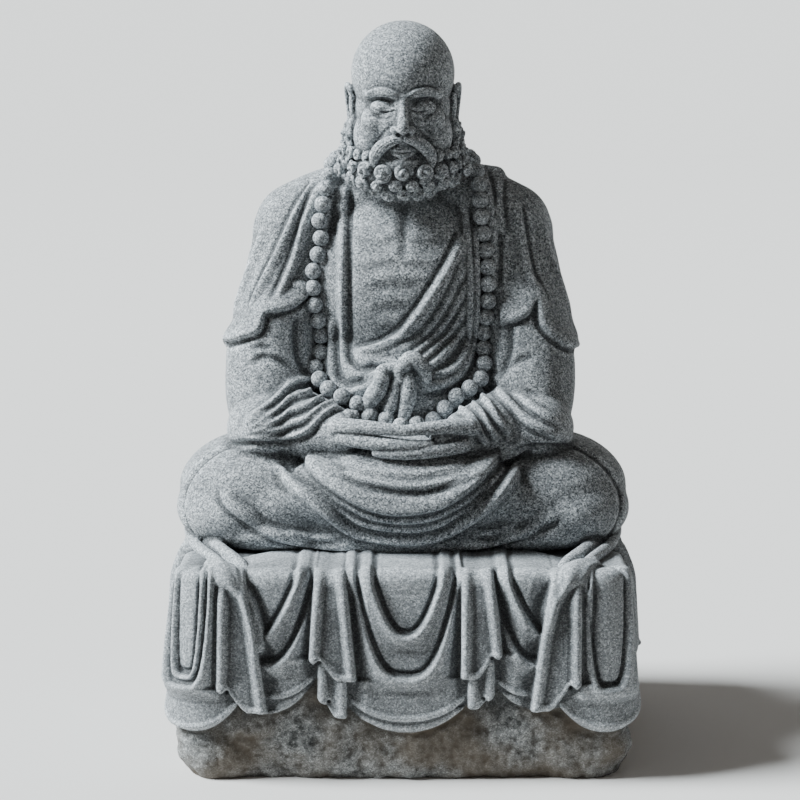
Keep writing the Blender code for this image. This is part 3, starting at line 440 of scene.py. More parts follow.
def chest_folds():
    """The bare chest and the robe's edges round it."""
    strip_left = drawn(-112, 690, -113, 580, -114, 447, -112, 362, -97, 334, -69, 326, -30, 345)
    outer_left = drawn(-135, 440, -135, 345, -128, 310, -105, 295, -75, 303, -45, 325, -20, 336)
    strip_right = drawn(118, 660, 127, 520, 126, 400, 115, 355, 90, 333, 45, 322)
    outer_right = drawn(140, 620, 142, 450, 134, 375, 112, 330, 81, 310, 30, 302)
    rim = drawn(117, 600, 90, 543, 46, 473, 2, 414, -42, 383, -104, 366)
    last = drawn(124, 430, 112, 405, 90, 378, 68, 357, 50, 345, 30, 336)
    second = drawn(124, 555, 90, 475, 46, 410, 2, 374, -42, 355, -100, 350)
    folds = [
        fold(strip_left, 0.010, 0.009, 0.024),
        fold(outer_left, 0.010, 0.010, 0.021),
        fold(strip_right, 0.010, 0.014, 0.014),
        fold(outer_right, 0.009, 0.012, 0.021),
        fold(rim, 0.012, 0.052, 0.009),
        fold(drawn(0, 670, 2, 600, 0, 530), -0.007, 0.024, 0.024, 0.052),
        fold(drawn(-100, 600, -50, 575, 0, 585, 50, 575, 100, 600), -0.004, 0.021, 0.035, 0.052),
    ]
    folds += [fold(line, 0.008, 0.017, 0.009) for line in family(second, last, 4)]
    for i in range(4):
        up = 0.535 - 0.042 * i
        reach = 0.095 - 0.012 * i
        rib = [(-reach, up - 0.012), (-0.03, up + 0.004), (0.03, up), (0.085 - 0.03 * i, up - 0.01)]
        folds.append(fold(rib, -0.003, 0.019, 0.019, 0.052))
    return folds


def sleeve_folds():
    """The sleeves, with folds that gather at the elbows and open over the lap."""
    first_left = drawn(
        -309, 239, -247, 278, -215, 306, -188, 312, -162, 310, -136, 299, -116, 285, -83, 252,
    )
    last_left = drawn(
        -313, 214, -243, 214, -210, 219, -182, 231, -155, 258, -136, 270, -116, 272, -87, 252,
    )
    first_right = drawn(105, 282, 134, 295, 160, 280, 179, 252, 206, 218)
    last_right = drawn(77, 255, 107, 268, 133, 255, 149, 222, 162, 201)
    elbow_right = [
        drawn(179, 300, 206, 276, 234, 248, 271, 227, 305, 214),
        drawn(208, 295, 258, 263, 305, 235),
    ]
    folds = [fold(line, 0.010, 0.018, 0.008) for line in family(first_left, last_left, 5)]
    folds += [fold(line, 0.010, 0.014, 0.009) for line in family(first_right, last_right, 3)]
    folds += [fold(line, 0.008, 0.020, 0.009) for line in elbow_right]
    creases = [
        drawn(-303, 372, -274, 381, -240, 368),
        drawn(-305, 336, -274, 360, -243, 357, -205, 330),
        drawn(185, 322, 215, 350, 262, 368),
    ]
    folds += [fold(line, -0.006, 0.012, 0.017) for line in creases]
    inner = drawn(-205, 446, -205, 372, -185, 312)
    folds += [fold(inner, -0.009, 0.017, 0.017), fold(flipped(inner), -0.009, 0.017, 0.017)]
    return folds


def figure_place(x, z):
    """Shares of the figure's height on a drawn view, in metres."""
    return x * FIGURE_HEIGHT, z * FIGURE_HEIGHT + SEAT_TOP


def hands():
    """Both hands laid together on the lap, palms up and thumbs touching."""
    palm = [(0.160, -0.140, 0.236), (0.115, -0.170, 0.230), (0.07, -0.195, 0.221)]
    thumb = [
        (0.125, -0.185, 0.240), (0.085, -0.205, 0.244), (0.045, -0.215, 0.243),
        (0.004, -0.219, 0.238),
    ]
    made = []
    for side in (-1, 1):
        lower = 0.015 if side == 1 else 0
        made.append(roll(sided(side, palm), [0.030, 0.030, 0.020]))
        made.append(roll(sided(side, thumb), [0.019, 0.015, 0.0125, 0.011]))
        for i in range(4):
            back = 0.021 * i
            finger = [
                (0.115, -0.192 + back, 0.222 - lower),
                (0.055, -0.222 + back, 0.211 - lower),
                (-0.005, -0.226 + back, 0.208 - lower),
                (-0.050 + 0.004 * i, -0.214 + back, 0.211 - lower),
            ]
            made.append(roll(sided(side, finger), [0.015, 0.0135, 0.0125, 0.009]))
    return made


def strap(tree, line, radii, lift=0.3):
    """A soft roll that lies along a drawn line on the robe."""
    found = traced(tree, [figure_place(*p) for p in line], 0.01 * FIGURE_HEIGHT)
    shares = np.linspace(0, 1, len(found))
    widths = np.interp(shares, np.linspace(0, 1, len(radii)), radii) * FIGURE_HEIGHT
    return limb([p + n * width * lift for (p, n), width in zip(found, widths)], list(widths))


def knot(tree):
    """The sash's knot: a loop and three tails that fall to the lap."""
    loop = drawn(-4, 318, -6, 338, 8, 352, 30, 349, 42, 334, 44, 318)
    inner = drawn(12, 322, 13, 334, 24, 338, 30, 326)
    tails = [
        (drawn(-20, 342, -40, 330, -50, 297, -68, 268), [0.013, 0.016, 0.019, 0.014]),
        (drawn(-12, 332, -14, 300, -26, 262), [0.010, 0.013, 0.012]),
        (drawn(6, 332, 10, 295, 2, 250), [0.013, 0.017, 0.013]),
    ]
    made = [
        strap(tree, loop, [0.012, 0.016, 0.017, 0.015, 0.011], 0.7),
        strap(tree, inner, [0.008, 0.008], 0.4),
    ]
    return made + [strap(tree, line, radii, 0.5) for line, radii in tails]


def unroll(points):
    """Cloth coordinates on the seat: s round it from the front's middle, t down over its edge."""
    half_width, half_depth, corner = SEAT_WIDTH / 2, SEAT_DEPTH / 2, SEAT_CORNER
    flat_x, flat_y = half_width - corner, half_depth - corner
    x, y, z = np.abs(points[:, 0]), points[:, 1], points[:, 2]
    past_x, past_y = np.clip(x - flat_x, 0, None), np.clip(np.abs(y) - flat_y, 0, None)
    round_corner = (past_x > 0) & (past_y > 0)
    inset = np.minimum(half_width - x, half_depth - np.abs(y))
    inset = np.where(round_corner, corner - np.hypot(past_x, past_y), inset)
    arc = corner * math.pi / 2
    turned = corner * np.arctan2(past_x, past_y)
    on_side = half_width - x < half_depth - np.abs(y)
    s = np.where(on_side, flat_x + arc + y + flat_y, x)
    s = np.where(~on_side & (y > 0), 2 * flat_x + 2 * arc + 2 * flat_y - x, s)
    s = np.where(round_corner & (y < 0), flat_x + turned, s)
    s = np.where(round_corner & (y > 0), flat_x + arc + 2 * flat_y + arc - turned, s)
    return np.sign(points[:, 0]) * s, (SEAT_TOP - SWAG_THICKNESS - z) - np.clip(inset, 0, None)


def swag(left, right, hem, ridges, unit=1):
    """Cloth that sags between two places. Depths are shares of the cloth's drop.

    Each ridge is a U: its half-width as a share of the swag's, its depth and how square it is.
    """
    middle, half = (left + right) / 2 * unit, (right - left) / 2 * unit
    return {"middle": middle, "half": half, "hem": hem, "ridges": ridges}


def tab(top, bottom, hem, lift=1.0, unit=1):
    """A fold that hangs in front: its left and right at the top and at the hem, and the hem's two depths."""
    top, bottom = [x * unit for x in top], [x * unit for x in bottom]
    return {"top": top, "bottom": bottom, "hem": hem, "lift": lift}


def plain_hangings(start, end, count):
    """A stretch of the sides or back: tabs at even places with a swag between each two."""
    pitch = (end - start) / count
    swags, tabs = [], []
    for i in range(count):
        left, deeper = start + i * pitch, i % 2
        hem = (0.70, 0.86 + 0.08 * deeper, 0.95)
        ridges = [(0.94, 0.56, 2.6), (0.68, 0.36, 2.0)]
        swags.append(swag(left - 0.05 * pitch, left + 1.05 * pitch, hem, ridges))
        if i:
            near, far = left - 0.13 * pitch, left + 0.13 * pitch
            bottom = (near - 0.07 * pitch, far + 0.07 * pitch)
            tabs.append(tab((near, far), bottom, (0.74 - 0.12 * deeper, 0.62 + 0.1 * deeper)))
    return swags, tabs


def hangings():
    """All the cloth round the seat, in metres from the front's middle."""
    flat_x, flat_y = SEAT_WIDTH / 2 - SEAT_CORNER, SEAT_DEPTH / 2 - SEAT_CORNER
    arc = SEAT_CORNER * math.pi / 2
    swags, tabs = front_hangings()
    side_start, side_end = SIDE_START * SEAT_WIDTH, flat_x + 2 * arc + 2 * flat_y
    back_end = side_end + flat_x
    for way in (-1, 1):
        for start, end, count in ((side_start, side_end, SIDE_SWAGS), (side_end, back_end, BACK_SWAGS)):
            more_swags, more_tabs = plain_hangings(way * start, way * end, count)
            swags += more_swags
            tabs += more_tabs
    return swags, tabs


def lumps(points):
    """Rough rock, as smooth noise between -1 and 1."""
    return np.array([noise.fractal(Vector(p) / ROCK_LUMP_SPAN, 0.9, 2.1, 4) for p in points])


def cut_flat(form):
    """Cuts the carving off at the ground and closes the cut."""
    with edited(form.data) as shape:
        parts = shape.verts[:] + shape.edges[:] + shape.faces[:]
        ground = {"plane_co": (0, 0, 0), "plane_no": (0, 0, -1)}
        cut = bmesh.ops.bisect_plane(shape, geom=parts, clear_outer=True, **ground)
        rim = [e for e in cut["geom_cut"] if isinstance(e, bmesh.types.BMEdge)]
        bmesh.ops.contextual_create(shape, geom=rim)


def hems_on_seat():
    """The robe's hem: a rim behind each knee, and two folds that run forward to the seat's edge."""
    outer = [
        (0.405, 0.03, 0.045), (0.425, -0.03, 0.025), (0.408, -0.11, 0.006), (0.388, -0.165, 0.002),
        (0.355, -0.245, 0.0), (0.333, -0.300, -0.001), (0.322, -0.325, -0.007),
    ]
    inner = [
        (0.38, 0.0, 0.030), (0.385, -0.09, 0.010), (0.352, -0.180, 0.002), (0.318, -0.250, -0.002),
        (0.295, -0.305, -0.004), (0.286, -0.325, -0.012),
    ]
    made = []
    for side in (-1, 1):
        made.append(mass((side * 0.275, 0.035, 0.088), (0.169, 0.115, 0.117)))
        for route, radius in ((outer, 0.011), (inner, 0.016)):
            radii = [radius] * (len(route) - 2) + [0.8 * radius, 0.4 * radius]
            made.append(roll(sided(side, route), radii))
    return made


def head_masses():
    """The skull, cheeks and brow in heads: the chin is at 0, the crown at 1 and the face looks along -Y."""
    nose = [(0, -0.340, 0.565), (0, -0.368, 0.500), (0, -0.405, 0.425), (0, -0.432, 0.372)]
    brow = [(0.035, -0.338, 0.572), (0.11, -0.340, 0.596), (0.19, -0.292, 0.590), (0.245, -0.215, 0.555)]
    made = [
        ball((0, 0.03, 0.655), (0.345, 0.39, 0.345)),
        ball((0, 0.00, 0.45), (0.318, 0.31, 0.30)),
        ball((0, -0.10, 0.42), (0.250, 0.275, 0.33)),
        ball((0, -0.20, 0.23), (0.160, 0.180, 0.14)),
        ball((0, -0.19, 0.10), (0.210, 0.20, 0.12)),
        ball((0, -0.07, 0.03), (0.355, 0.305, 0.125)),
        ball((0, -0.345, 0.405), (0.070, 0.055, 0.075)),
        limb(nose, [0.024, 0.027, 0.036, 0.043]),
    ]
    for side in (-1, 1):
        made += [
            ball((side * 0.165, -0.215, 0.395), (0.115, 0.095, 0.090)),
            ball((side * 0.205, -0.090, 0.260), (0.125, 0.170, 0.170)),
            ball((side * 0.320, 0.03, 0.350), (0.030, 0.060, 0.110)),
            ball((side * 0.175, -0.175, 0.325), (0.110, 0.105, 0.120)),
            ball((side * 0.115, -0.270, 0.165), (0.075, 0.060, 0.075)),
            limb(sided(side, brow), [0.026, 0.036, 0.034, 0.025]),
        ]
    return made


def features():
    """The closed lids, nostrils, lips, moustache and long ears, in heads."""
    moustache = [
        (0.020, -0.408, 0.300), (0.080, -0.398, 0.290), (0.150, -0.350, 0.238), (0.192, -0.300, 0.165),
        (0.185, -0.295, 0.105),
    ]
    upper_lip = [(0.085, -0.350, 0.212), (0.04, -0.382, 0.225), (0, -0.388, 0.221)]
    lower_lip = [(0.072, -0.350, 0.196), (0.035, -0.378, 0.186), (0, -0.384, 0.183)]
    ear = [
        (0.335, -0.03, 0.500), (0.355, -0.02, 0.565), (0.372, 0.05, 0.590), (0.375, 0.105, 0.530),
        (0.365, 0.095, 0.430), (0.352, 0.050, 0.340), (0.345, 0.015, 0.260),
    ]
    lash = [
        (0.056, -0.312, 0.500), (0.095, -0.340, 0.486), (0.150, -0.336, 0.484),
        (0.205, -0.284, 0.499),
    ]
    made = [
        ball((0, -0.352, 0.135), (0.065, 0.050, 0.035)),
        ball((0, -0.388, 0.328), (0.026, 0.038, 0.034)),
    ]
    for side in (-1, 1):
        made += [
            limb(sided(side, lash), [0.006, 0.011, 0.011, 0.007]),
            ball((side * 0.130, -0.280, 0.484), (0.086, 0.060, 0.050)),
            ball((side * 0.052, -0.398, 0.356), (0.034, 0.042, 0.029)),
            ball((side * 0.335, 0.04, 0.455), (0.026, 0.075, 0.120)),
            ball((side * 0.345, 0.010, 0.265), (0.034, 0.040, 0.095)),
            limb(sided(side, moustache), [0.026, 0.038, 0.046, 0.044, 0.030]),
            limb(sided(side, upper_lip), [0.008, 0.016, 0.016]),
            limb(sided(side, lower_lip), [0.008, 0.019, 0.021]),
            limb(sided(side, ear), [0.016, 0.019, 0.021, 0.021, 0.019, 0.020, 0.024]),
        ]
    return made


def socket_folds():
    """Hollows under the brows and beside the nose, in heads on the front view."""
    socket = drawn(50, 505, 100, 520, 160, 518, 215, 492)
    return [fold(line, -0.026, 0.055, 0.050, 0.05) for line in (socket, flipped(socket))]


def face_folds():
    """Calm closed eyes, brows, nostrils, lips and the moustache's strands, in heads on the front view."""
    folds = []
    for line, height, left, right in (
        (drawn(52, 498, 85, 524, 135, 532, 185, 515, 210, 488), -0.012, 0.010, 0.010),
        (drawn(52, 484, 95, 468, 150, 466, 208, 484), -0.020, 0.008, 0.014),
        (drawn(65, 440, 110, 420, 155, 422, 200, 440), -0.005, 0.014, 0.016),
        (drawn(40, 583, 100, 612, 170, 612, 240, 575), 0.010, 0.012, 0.026),
        (drawn(22, 338, 50, 336), -0.016, 0.012, 0.012),
        (drawn(88, 372, 120, 330, 160, 275), -0.007, 0.02, 0.02),
        (drawn(20, 318, 80, 307, 160, 250, 205, 170), -0.014, 0.007, 0.007),
        (drawn(20, 302, 80, 288, 148, 236, 190, 160), -0.014, 0.007, 0.007),
        (drawn(20, 287, 80, 270, 135, 222, 174, 150), -0.014, 0.007, 0.007),
    ):
        folds += [fold(line, height, left, right, 0.02), fold(flipped(line), height, left, right, 0.02)]
    mouth = drawn(-88, 205, -40, 205, 0, 201, 40, 205, 88, 205)
    folds += [
        fold(mouth, -0.014, 0.008, 0.008, 0.02),
        fold(drawn(0, 320, 0, 260), -0.010, 0.014, 0.014, 0.02),
    ]
    for view, way in (("left", -1), ("right", 1)):
        bowl = [(way * 0.045, 0.53), (way * 0.065, 0.46), (way * 0.035, 0.38)]
        folds.append(fold(bowl, -0.022, 0.03, 0.03, 0.02, view))
    return folds


def front_hangings():
    """The front's cloth. Places are shares of the seat's width, depths of the cloth's drop."""
    swags = [
        (-0.572, -0.367, (0.82, 0.985, 1.0), [(0.45, 0.70, 5), (0.29, 0.64, 5)]),
        (-0.420, -0.190, (0.64, 0.79, 0.88), [(1.0, 0.56, 2.5), (0.66, 0.36, 1.5)]),
        (-0.185, 0.199, (0.62, 0.93, 1.0), [(0.62, 0.647, 2.9), (0.42, 0.377, 2.2)]),
        (0.190, 0.420, (0.64, 0.78, 0.86), [(1.0, 0.56, 2.5), (0.66, 0.36, 1.5)]),
        (0.345, 0.555, (0.82, 0.98, 1.0), [(0.44, 0.72, 4)]),
    ]
    tabs = [
        ((-0.183, -0.130), (-0.191, -0.124), (0.77, 0.90), 0.72),
        ((0.148, 0.195), (0.144, 0.205), (0.84, 0.75), 0.72),
        ((-0.408, -0.350), (-0.415, -0.302), (0.70, 0.865), 1),
        ((-0.195, -0.128), (-0.212, -0.103), (0.51, 0.655), 1),
        ((0.130, 0.200), (0.128, 0.226), (0.64, 0.48), 1),
        ((0.330, 0.395), (0.283, 0.395), (0.85, 0.67), 1),
    ]
    return [swag(*row, SEAT_WIDTH) for row in swags], [tab(*row, SEAT_WIDTH) for row in tabs]


def swag_relief(s, t, hanging):
    """How far one swag stands out, where it shows, and where the layer under its hem does."""
    drop, soft, half = CLOTH_DROP, SEAT_SOFT, abs(hanging["half"])
    aside = np.abs(s - hanging["middle"])
    sag = 1 - np.clip(aside / half, 0, 1) ** 2.2
    high, low, lowest = hanging["hem"]
    hem = drop * (high + (low - high) * sag)
    last = drop * (high + (lowest - high) * sag)
    height = np.full(len(s), SWAG_THICKNESS)
    over_edge = 0.3 + 0.7 * eased(t, -0.016, 0.012)
    for width, depth, square in hanging["ridges"]:
        reach = width * half
        x = np.clip(aside / reach, 0, 1)
        line = drop * depth * (1 - x**square)
        slope = drop * depth * square * x ** (square - 1) / reach
        across = (t - line) / np.sqrt(1 + slope**2)
        across = np.maximum(across, t - drop * depth)
        across = np.where(aside > reach, np.hypot(aside - reach, np.clip(across, 0, None)), across)
        across = np.where(t < 0, aside - reach, across)
        ridge = bump(across, np.where(across < 0, SEAT_STEEP, SEAT_GENTLE))
        ridge = ridge - FURROW * bump(across + 1.5 * SEAT_STEEP, SEAT_STEEP)
        height = height + SEAT_FOLD * ridge * over_edge
    height = height + HEM_ROLL * bump(t - hem + HEM_WIDTH, HEM_WIDTH)
    held = eased(half - aside, -soft, soft)
    return height, held * eased(hem - t, -soft, soft), held * eased(last - t, -soft, soft)


def hang_tab(s, t, relief, hanging):
    """The relief with one tab hung over it, and where the tab shows."""
    drop, soft, roll = CLOTH_DROP, SEAT_SOFT, SEAT_ROLL_WIDTH
    down = np.clip(t / (drop * max(hanging["hem"])), 0, 1) ** 0.8
    sides = sorted(zip(hanging["top"], hanging["bottom"]))
    left, right = (a + (b - a) * down for a, b in sides)
    first, second = hanging["hem"]
    share = np.clip((s - left) / (right - left), 0, 1)
    curled, way = (left, 1) if first < second else (right, -1)
    from_curl = share if way == 1 else 1 - share
    near, far = min(first, second), max(first, second)
    hem = drop * (near + (far - near) * eased(from_curl, 0.12, 0.66))
    finger = curled + way * 0.5 * roll
    hem = hem + CURL_DROP * bump(s - finger, 0.7 * roll)
    edge = np.minimum(s - left, right - s)
    rolls = bump(s - left - 0.5 * roll, roll) + bump(right - s - 0.5 * roll, roll)
    over_edge = 0.2 + 0.8 * eased(t, -0.014, 0.012)
    height = TAB_THICKNESS * (0.5 + 0.5 * eased(t, -0.01, 0.03)) + 0.6 * SEAT_FOLD * rolls * over_edge
    height = height + HEM_ROLL * bump(hem - t - HEM_WIDTH, HEM_WIDTH)
    above_hem = eased(hem - t, -soft, soft)
    shown = eased(edge, -soft, soft) * above_hem
    beside = eased(edge, -2.2 * roll, -0.3 * roll) * (1 - shown) * above_hem
    relief = relief - 0.7 * SEAT_FOLD * beside * eased(t, -0.02, 0.02)
    relief = relief + (hanging["lift"] * height - relief) * shown
    mouth = np.hypot(s - curled - way * 1.15 * roll, t - drop * near - SEAT_CURL)
    return relief - 2 * SEAT_CURL * bump(mouth, 1.2 * SEAT_CURL), shown


def crossing_strip(s, t, line):
    """A strip that crosses the cloth along a line in metres: its narrow fold, and where it lies."""
    path = smooth_line(line, 0.003)
    near = (np.abs(s - path[:, 0].mean()) < 0.06) & (t < 0.12) & (t > -0.03)
    ridge, strip = np.zeros(len(s)), np.zeros(len(s))
    apart = np.hypot(s[near][:, None] - path[:, 0], t[near][:, None] - path[:, 1])
    nearest = apart.argmin(axis=1)
    fade = eased(len(path) - nearest, 0, 10)
    ridge[near] = bump(apart.min(axis=1), SEAT_ROLL_WIDTH * 0.8) * fade
    strip[near] = bump(apart.min(axis=1), SEAT_ROLL_WIDTH * 2.0) * fade
    return ridge, strip


def cloth_relief(s, t):
    """How far the cloth stands out from the block, and where there is cloth and not rock."""
    swags, tabs = hangings()
    cloth, on_cloth, on_under = np.zeros(len(s)), np.zeros(len(s)), np.zeros(len(s))
    for hanging in swags:
        height, shown, under = swag_relief(s, t, hanging)
        cloth = np.maximum(cloth, height * shown)
        on_cloth = np.maximum(on_cloth, shown)
        on_under = np.maximum(on_under, under)
    relief = np.maximum(cloth, UNDER_THICKNESS * on_under)
    covered = np.maximum(on_cloth, on_under)
    around = eased(np.abs(s), SNUG_START * SEAT_WIDTH, SNUG_END * SEAT_WIDTH)
    relief = relief * (1 - around * (1 - SIDE_SNUG) * (1 - np.clip(t / CLOTH_DROP, 0, 1)))
    for hanging in tabs:
        relief, shown = hang_tab(s, t, relief, hanging)
        covered = np.maximum(covered, shown)
    left = drawn(-205, -15, -190, -2, -178, 7, -167, 22, -159, 42, -154, 66, -151, 90)
    right = drawn(205, -20, 190, -8, 177, 0, 166, 14, 158, 36, 153, 60)
    for line in (left, right):
        ridge, strip = crossing_strip(s, t, line)
        relief = np.maximum(relief, TAB_THICKNESS * np.minimum(1.5 * strip, 1)) + 0.5 * SEAT_FOLD * ridge
    return relief, covered


def lap_folds():
    """The robe over the crossed legs, in shares of the figure's height."""
    inner = drawn(-120, 178, -57, 162, 34, 158, 127, 172)
    middle = drawn(-120, 166, -57, 144, 40, 136, 157, 164)
    deep = drawn(-200, 185, -155, 150, -100, 114, -53, 94, 0, 88, 67, 99, 121, 130, 176, 172, 250, 200)
    lowest = drawn(
        -250, 165, -221, 145, -178, 115, -143, 86, -106, 53, -66, 36, 0, 28, 40, 30, 85, 44, 150, 90,
        190, 130, 225, 170,
    )
    trough = drawn(-215, 165, -165, 130, -118, 92, -75, 66, -30, 55, 20, 53, 70, 64, 130, 100, 175, 145)
    calf_left = drawn(-345, 125, -334, 94, -296, 64, -267, 43, -232, 26, -193, 14, -150, 8, -80, 7)
    calf_right = drawn(100, 7, 163, 12, 205, 26, 250, 46, 302, 80)
    knee_rim = drawn(-200, 200, -290, 198, -355, 178, -402, 138, -424, 85, -412, 35, -385, 5)
    return [
        fold(knee_rim, -0.007, 0.008, 0.020),
        fold(flipped(knee_rim), -0.007, 0.020, 0.008),
        fold(inner, 0.005, 0.021, 0.009),
        fold(middle, 0.008, 0.028, 0.009),
        fold(deep, 0.014, 0.045, 0.010),
        fold(trough, -0.009, 0.017, 0.014),
        fold(lowest, 0.013, 0.010, 0.024),
        fold(calf_left, 0.008, 0.026, 0.009),
        fold(calf_right, 0.008, 0.026, 0.009),
        fold(drawn(-239, 41, -192, 30, -147, 27, -115, 31), 0.006, 0.014, 0.008),
        fold(drawn(130, 34, 180, 38, 230, 54), 0.006, 0.014, 0.008),
    ]


def cape_folds():
    """The outer robe over shoulders and upper arms, down to its hems."""
    hem_left = drawn(
        -350, 378, -310, 394, -278, 409, -266, 440, -245, 447, -215, 455, -190, 475, -184, 500,
    )
    hem_right = drawn(192, 420, 215, 428, 240, 442, 257, 468, 268, 420, 304, 384, 345, 366)
    folds = [fold(hem_left, 0.014, 0.052, 0.006, 0.007), fold(hem_right, 0.014, 0.052, 0.006, 0.007)]
    for line, height, wide in (
        (drawn(-170, 700, -206, 641, -243, 562, -285, 480, -300, 440), 0.007, 0.020),
        (drawn(-160, 695, -190, 625, -212, 548, -235, 492, -255, 447), 0.009, 0.024),
        (drawn(-130, 705, -147, 640, -155, 560, -165, 500), 0.005, 0.012),
    ):
        folds.append(fold(line, height, wide, 0.007))
    for line, height, wide in (
        (drawn(222, 660, 237, 562, 249, 513, 266, 475, 272, 440), 0.008, 0.022),
        (drawn(156, 720, 169, 667, 179, 583, 178, 478), 0.007, 0.018),
        (drawn(190, 710, 187, 651, 192, 580), 0.006, 0.016),
    ):
        folds.append(fold(line, height, 0.008, wide))
    return folds


def back_folds():
    """The back's drapery: a hem across it and folds that fan out from the neck, plainer than the front."""
    hem = drawn(-330, 375, -180, 335, 0, 325, 180, 335, 330, 375)
    folds = [fold(hem, 0.012, 0.052, 0.009, view="back")]
    upper = family(drawn(-120, 710, -210, 560, -270, 400), drawn(120, 710, 210, 560, 270, 400), 7)
    lower = family(drawn(-240, 310, -270, 200, -360, 80), drawn(240, 310, 270, 200, 360, 80), 7)
    folds += [fold(line, 0.009, 0.028, 0.028, 0.070, view="back") for line in upper + lower]
    for view, way in (("left", -1), ("right", 1)):
        hanging = family(
            [(way * 0.02, 0.62), (way * 0.02, 0.50), (way * 0.04, 0.41)],
            [(way * 0.12, 0.64), (way * 0.15, 0.50), (way * 0.16, 0.38)], 3,
        )
        folds += [fold(line, 0.007, 0.021, 0.021, 0.052, view=view) for line in hanging]
        thigh = [(way * 0.14, 0.22), (way * 0.155, 0.14), (way * 0.17, 0.08)]
        folds.append(fold(thigh, 0.007, 0.021, 0.017, 0.052, view=view))
    return folds


def figure():
    """The clothed body with its folds carved. The cloth fills in under the hands and the knees."""
    cloth = [mass((0, -0.155, 0.112), (0.24, 0.092, 0.088))]
    for side in (-1, 1):
        cloth += [
            mass((side * 0.25, -0.085, 0.030), (0.15, 0.108, 0.045)),
            mass((side * 0.215, -0.080, 0.082), (0.155, 0.113, 0.085)),
        ]
    form = fuse("robe", figure_masses() + cloth, BODY_VOXEL, BODY_SOFT)
    folds = lap_folds() + chest_folds() + cape_folds() + sleeve_folds() + back_folds()
    return carve(form, folds, BODY_VOXEL, FIGURE_HEIGHT, SEAT_TOP)


def add(nodes, kind, values=None, **settings):
    """A new node with its settings, and with inputs that are set or linked from sockets."""
    node = nodes.new(kind)
    for name, value in settings.items():
        setattr(node, name, value)
    for name, value in (values or {}).items():
        socket = node.inputs[name]
        if isinstance(value, bpy.types.NodeSocket):
            node.id_data.links.new(value, socket)
        else:
            socket.default_value = value
    return node


def node_tree(name, sizes):
    """A Geometry Nodes tree with a geometry input and named sizes."""
    tree = bpy.data.node_groups.new(name, "GeometryNodeTree")
    tree.interface.new_socket("Geometry", in_out="INPUT", socket_type="NodeSocketGeometry")
    for label, value in sizes.items():
        kind = "NodeSocketInt" if isinstance(value, int) else "NodeSocketFloat"
        tree.interface.new_socket(label, in_out="INPUT", socket_type=kind).default_value = value
    tree.interface.new_socket("Geometry", in_out="OUTPUT", socket_type="NodeSocketGeometry")
    return tree, tree.nodes.new("NodeGroupInput"), tree.nodes.new("NodeGroupOutput")


def grown(name, source, tree, sizes):
    """The plain mesh that a Geometry Nodes tree makes from the source, which it uses up."""
    modifier = source.modifiers.new(tree.name, "NODES")
    modifier.node_group = tree
    for item in tree.interface.items_tree:
        if item.in_out == "INPUT" and item.name in sizes:
            modifier[item.identifier] = sizes[item.name]
    settle(source)
    source.name = name
    return source


def end_tree(made, placed, material):
    """Closes a tree: the placed instances as one plain mesh with a material."""
    tree = made.id_data
    whole = add(tree.nodes, "GeometryNodeRealizeInstances", {"Geometry": placed.outputs[0]})
    painted = {"Geometry": whole.outputs[0], "Material": material}
    finish = add(tree.nodes, "GeometryNodeSetMaterial", painted)
    tree.links.new(finish.outputs[0], made.inputs["Geometry"])


def bead_tree(material):
    """Beads strung at even steps along a line."""
    tree, given, made = node_tree("strung beads", {"Bead": BEAD, "Pitch": BEAD_PITCH})
    nodes, start = tree.nodes, given.outputs
    line = add(nodes, "GeometryNodeMeshToCurve", {"Mesh": start["Geometry"]})
    steps = {"Curve": line.outputs[0], "Length": start["Pitch"]}
    even = add(nodes, "GeometryNodeResampleCurve", steps, mode="LENGTH")
    radius = math_node(nodes, "MULTIPLY", start["Bead"], 0.5)
    bead = add(nodes, "GeometryNodeMeshUVSphere", {"Segments": 32, "Rings": 20, "Radius": radius})
    places = {"Points": even.outputs[0], "Instance": bead.outputs[0]}
    end_tree(made, add(nodes, "GeometryNodeInstanceOnPoints", places), material)
    return tree


def line_object(name, points):
    """A mesh of one line through the points."""
    mesh = bpy.data.meshes.new(name)
    mesh.from_pydata([tuple(p) for p in points], [(i, i + 1) for i in range(len(points) - 1)], [])
    return new_object(name, mesh)


def strand(tree):
    """The rosary's line on the robe, and round the back of the neck."""
    left = drawn(-137, 715, -150, 690, -155, 645, -165, 580, -169, 500, -170, 400, -167, 325)
    middle = drawn(-146, 302, -110, 282, -64, 253, 4, 240, 56, 244, 104, 283, 135, 303)
    right = drawn(148, 330, 156, 380, 162, 470, 160, 550, 153, 620, 146, 680, 140, 715)
    front = traced(tree, [figure_place(*p) for p in left + middle + right], BEAD_PITCH / 4)
    nape = [(0.140, 0.02, 0.72), (0.125, 0.09, 0.74), (0.07, 0.15, 0.74), (0, 0.17, 0.735)]
    nape += [(-x, y, z) for x, y, z in reversed(nape[:-1])]
    back = [tree.find_nearest(Vector(p))[:2] for p in smooth_line([at(*p) for p in nape], BEAD_PITCH / 4)]
    raised = [point + normal * BEAD * BEAD_LIFT for point, normal in front + back]
    return smooth_line([raised[i] for i in range(0, len(raised), 4)], BEAD_PITCH / 4)


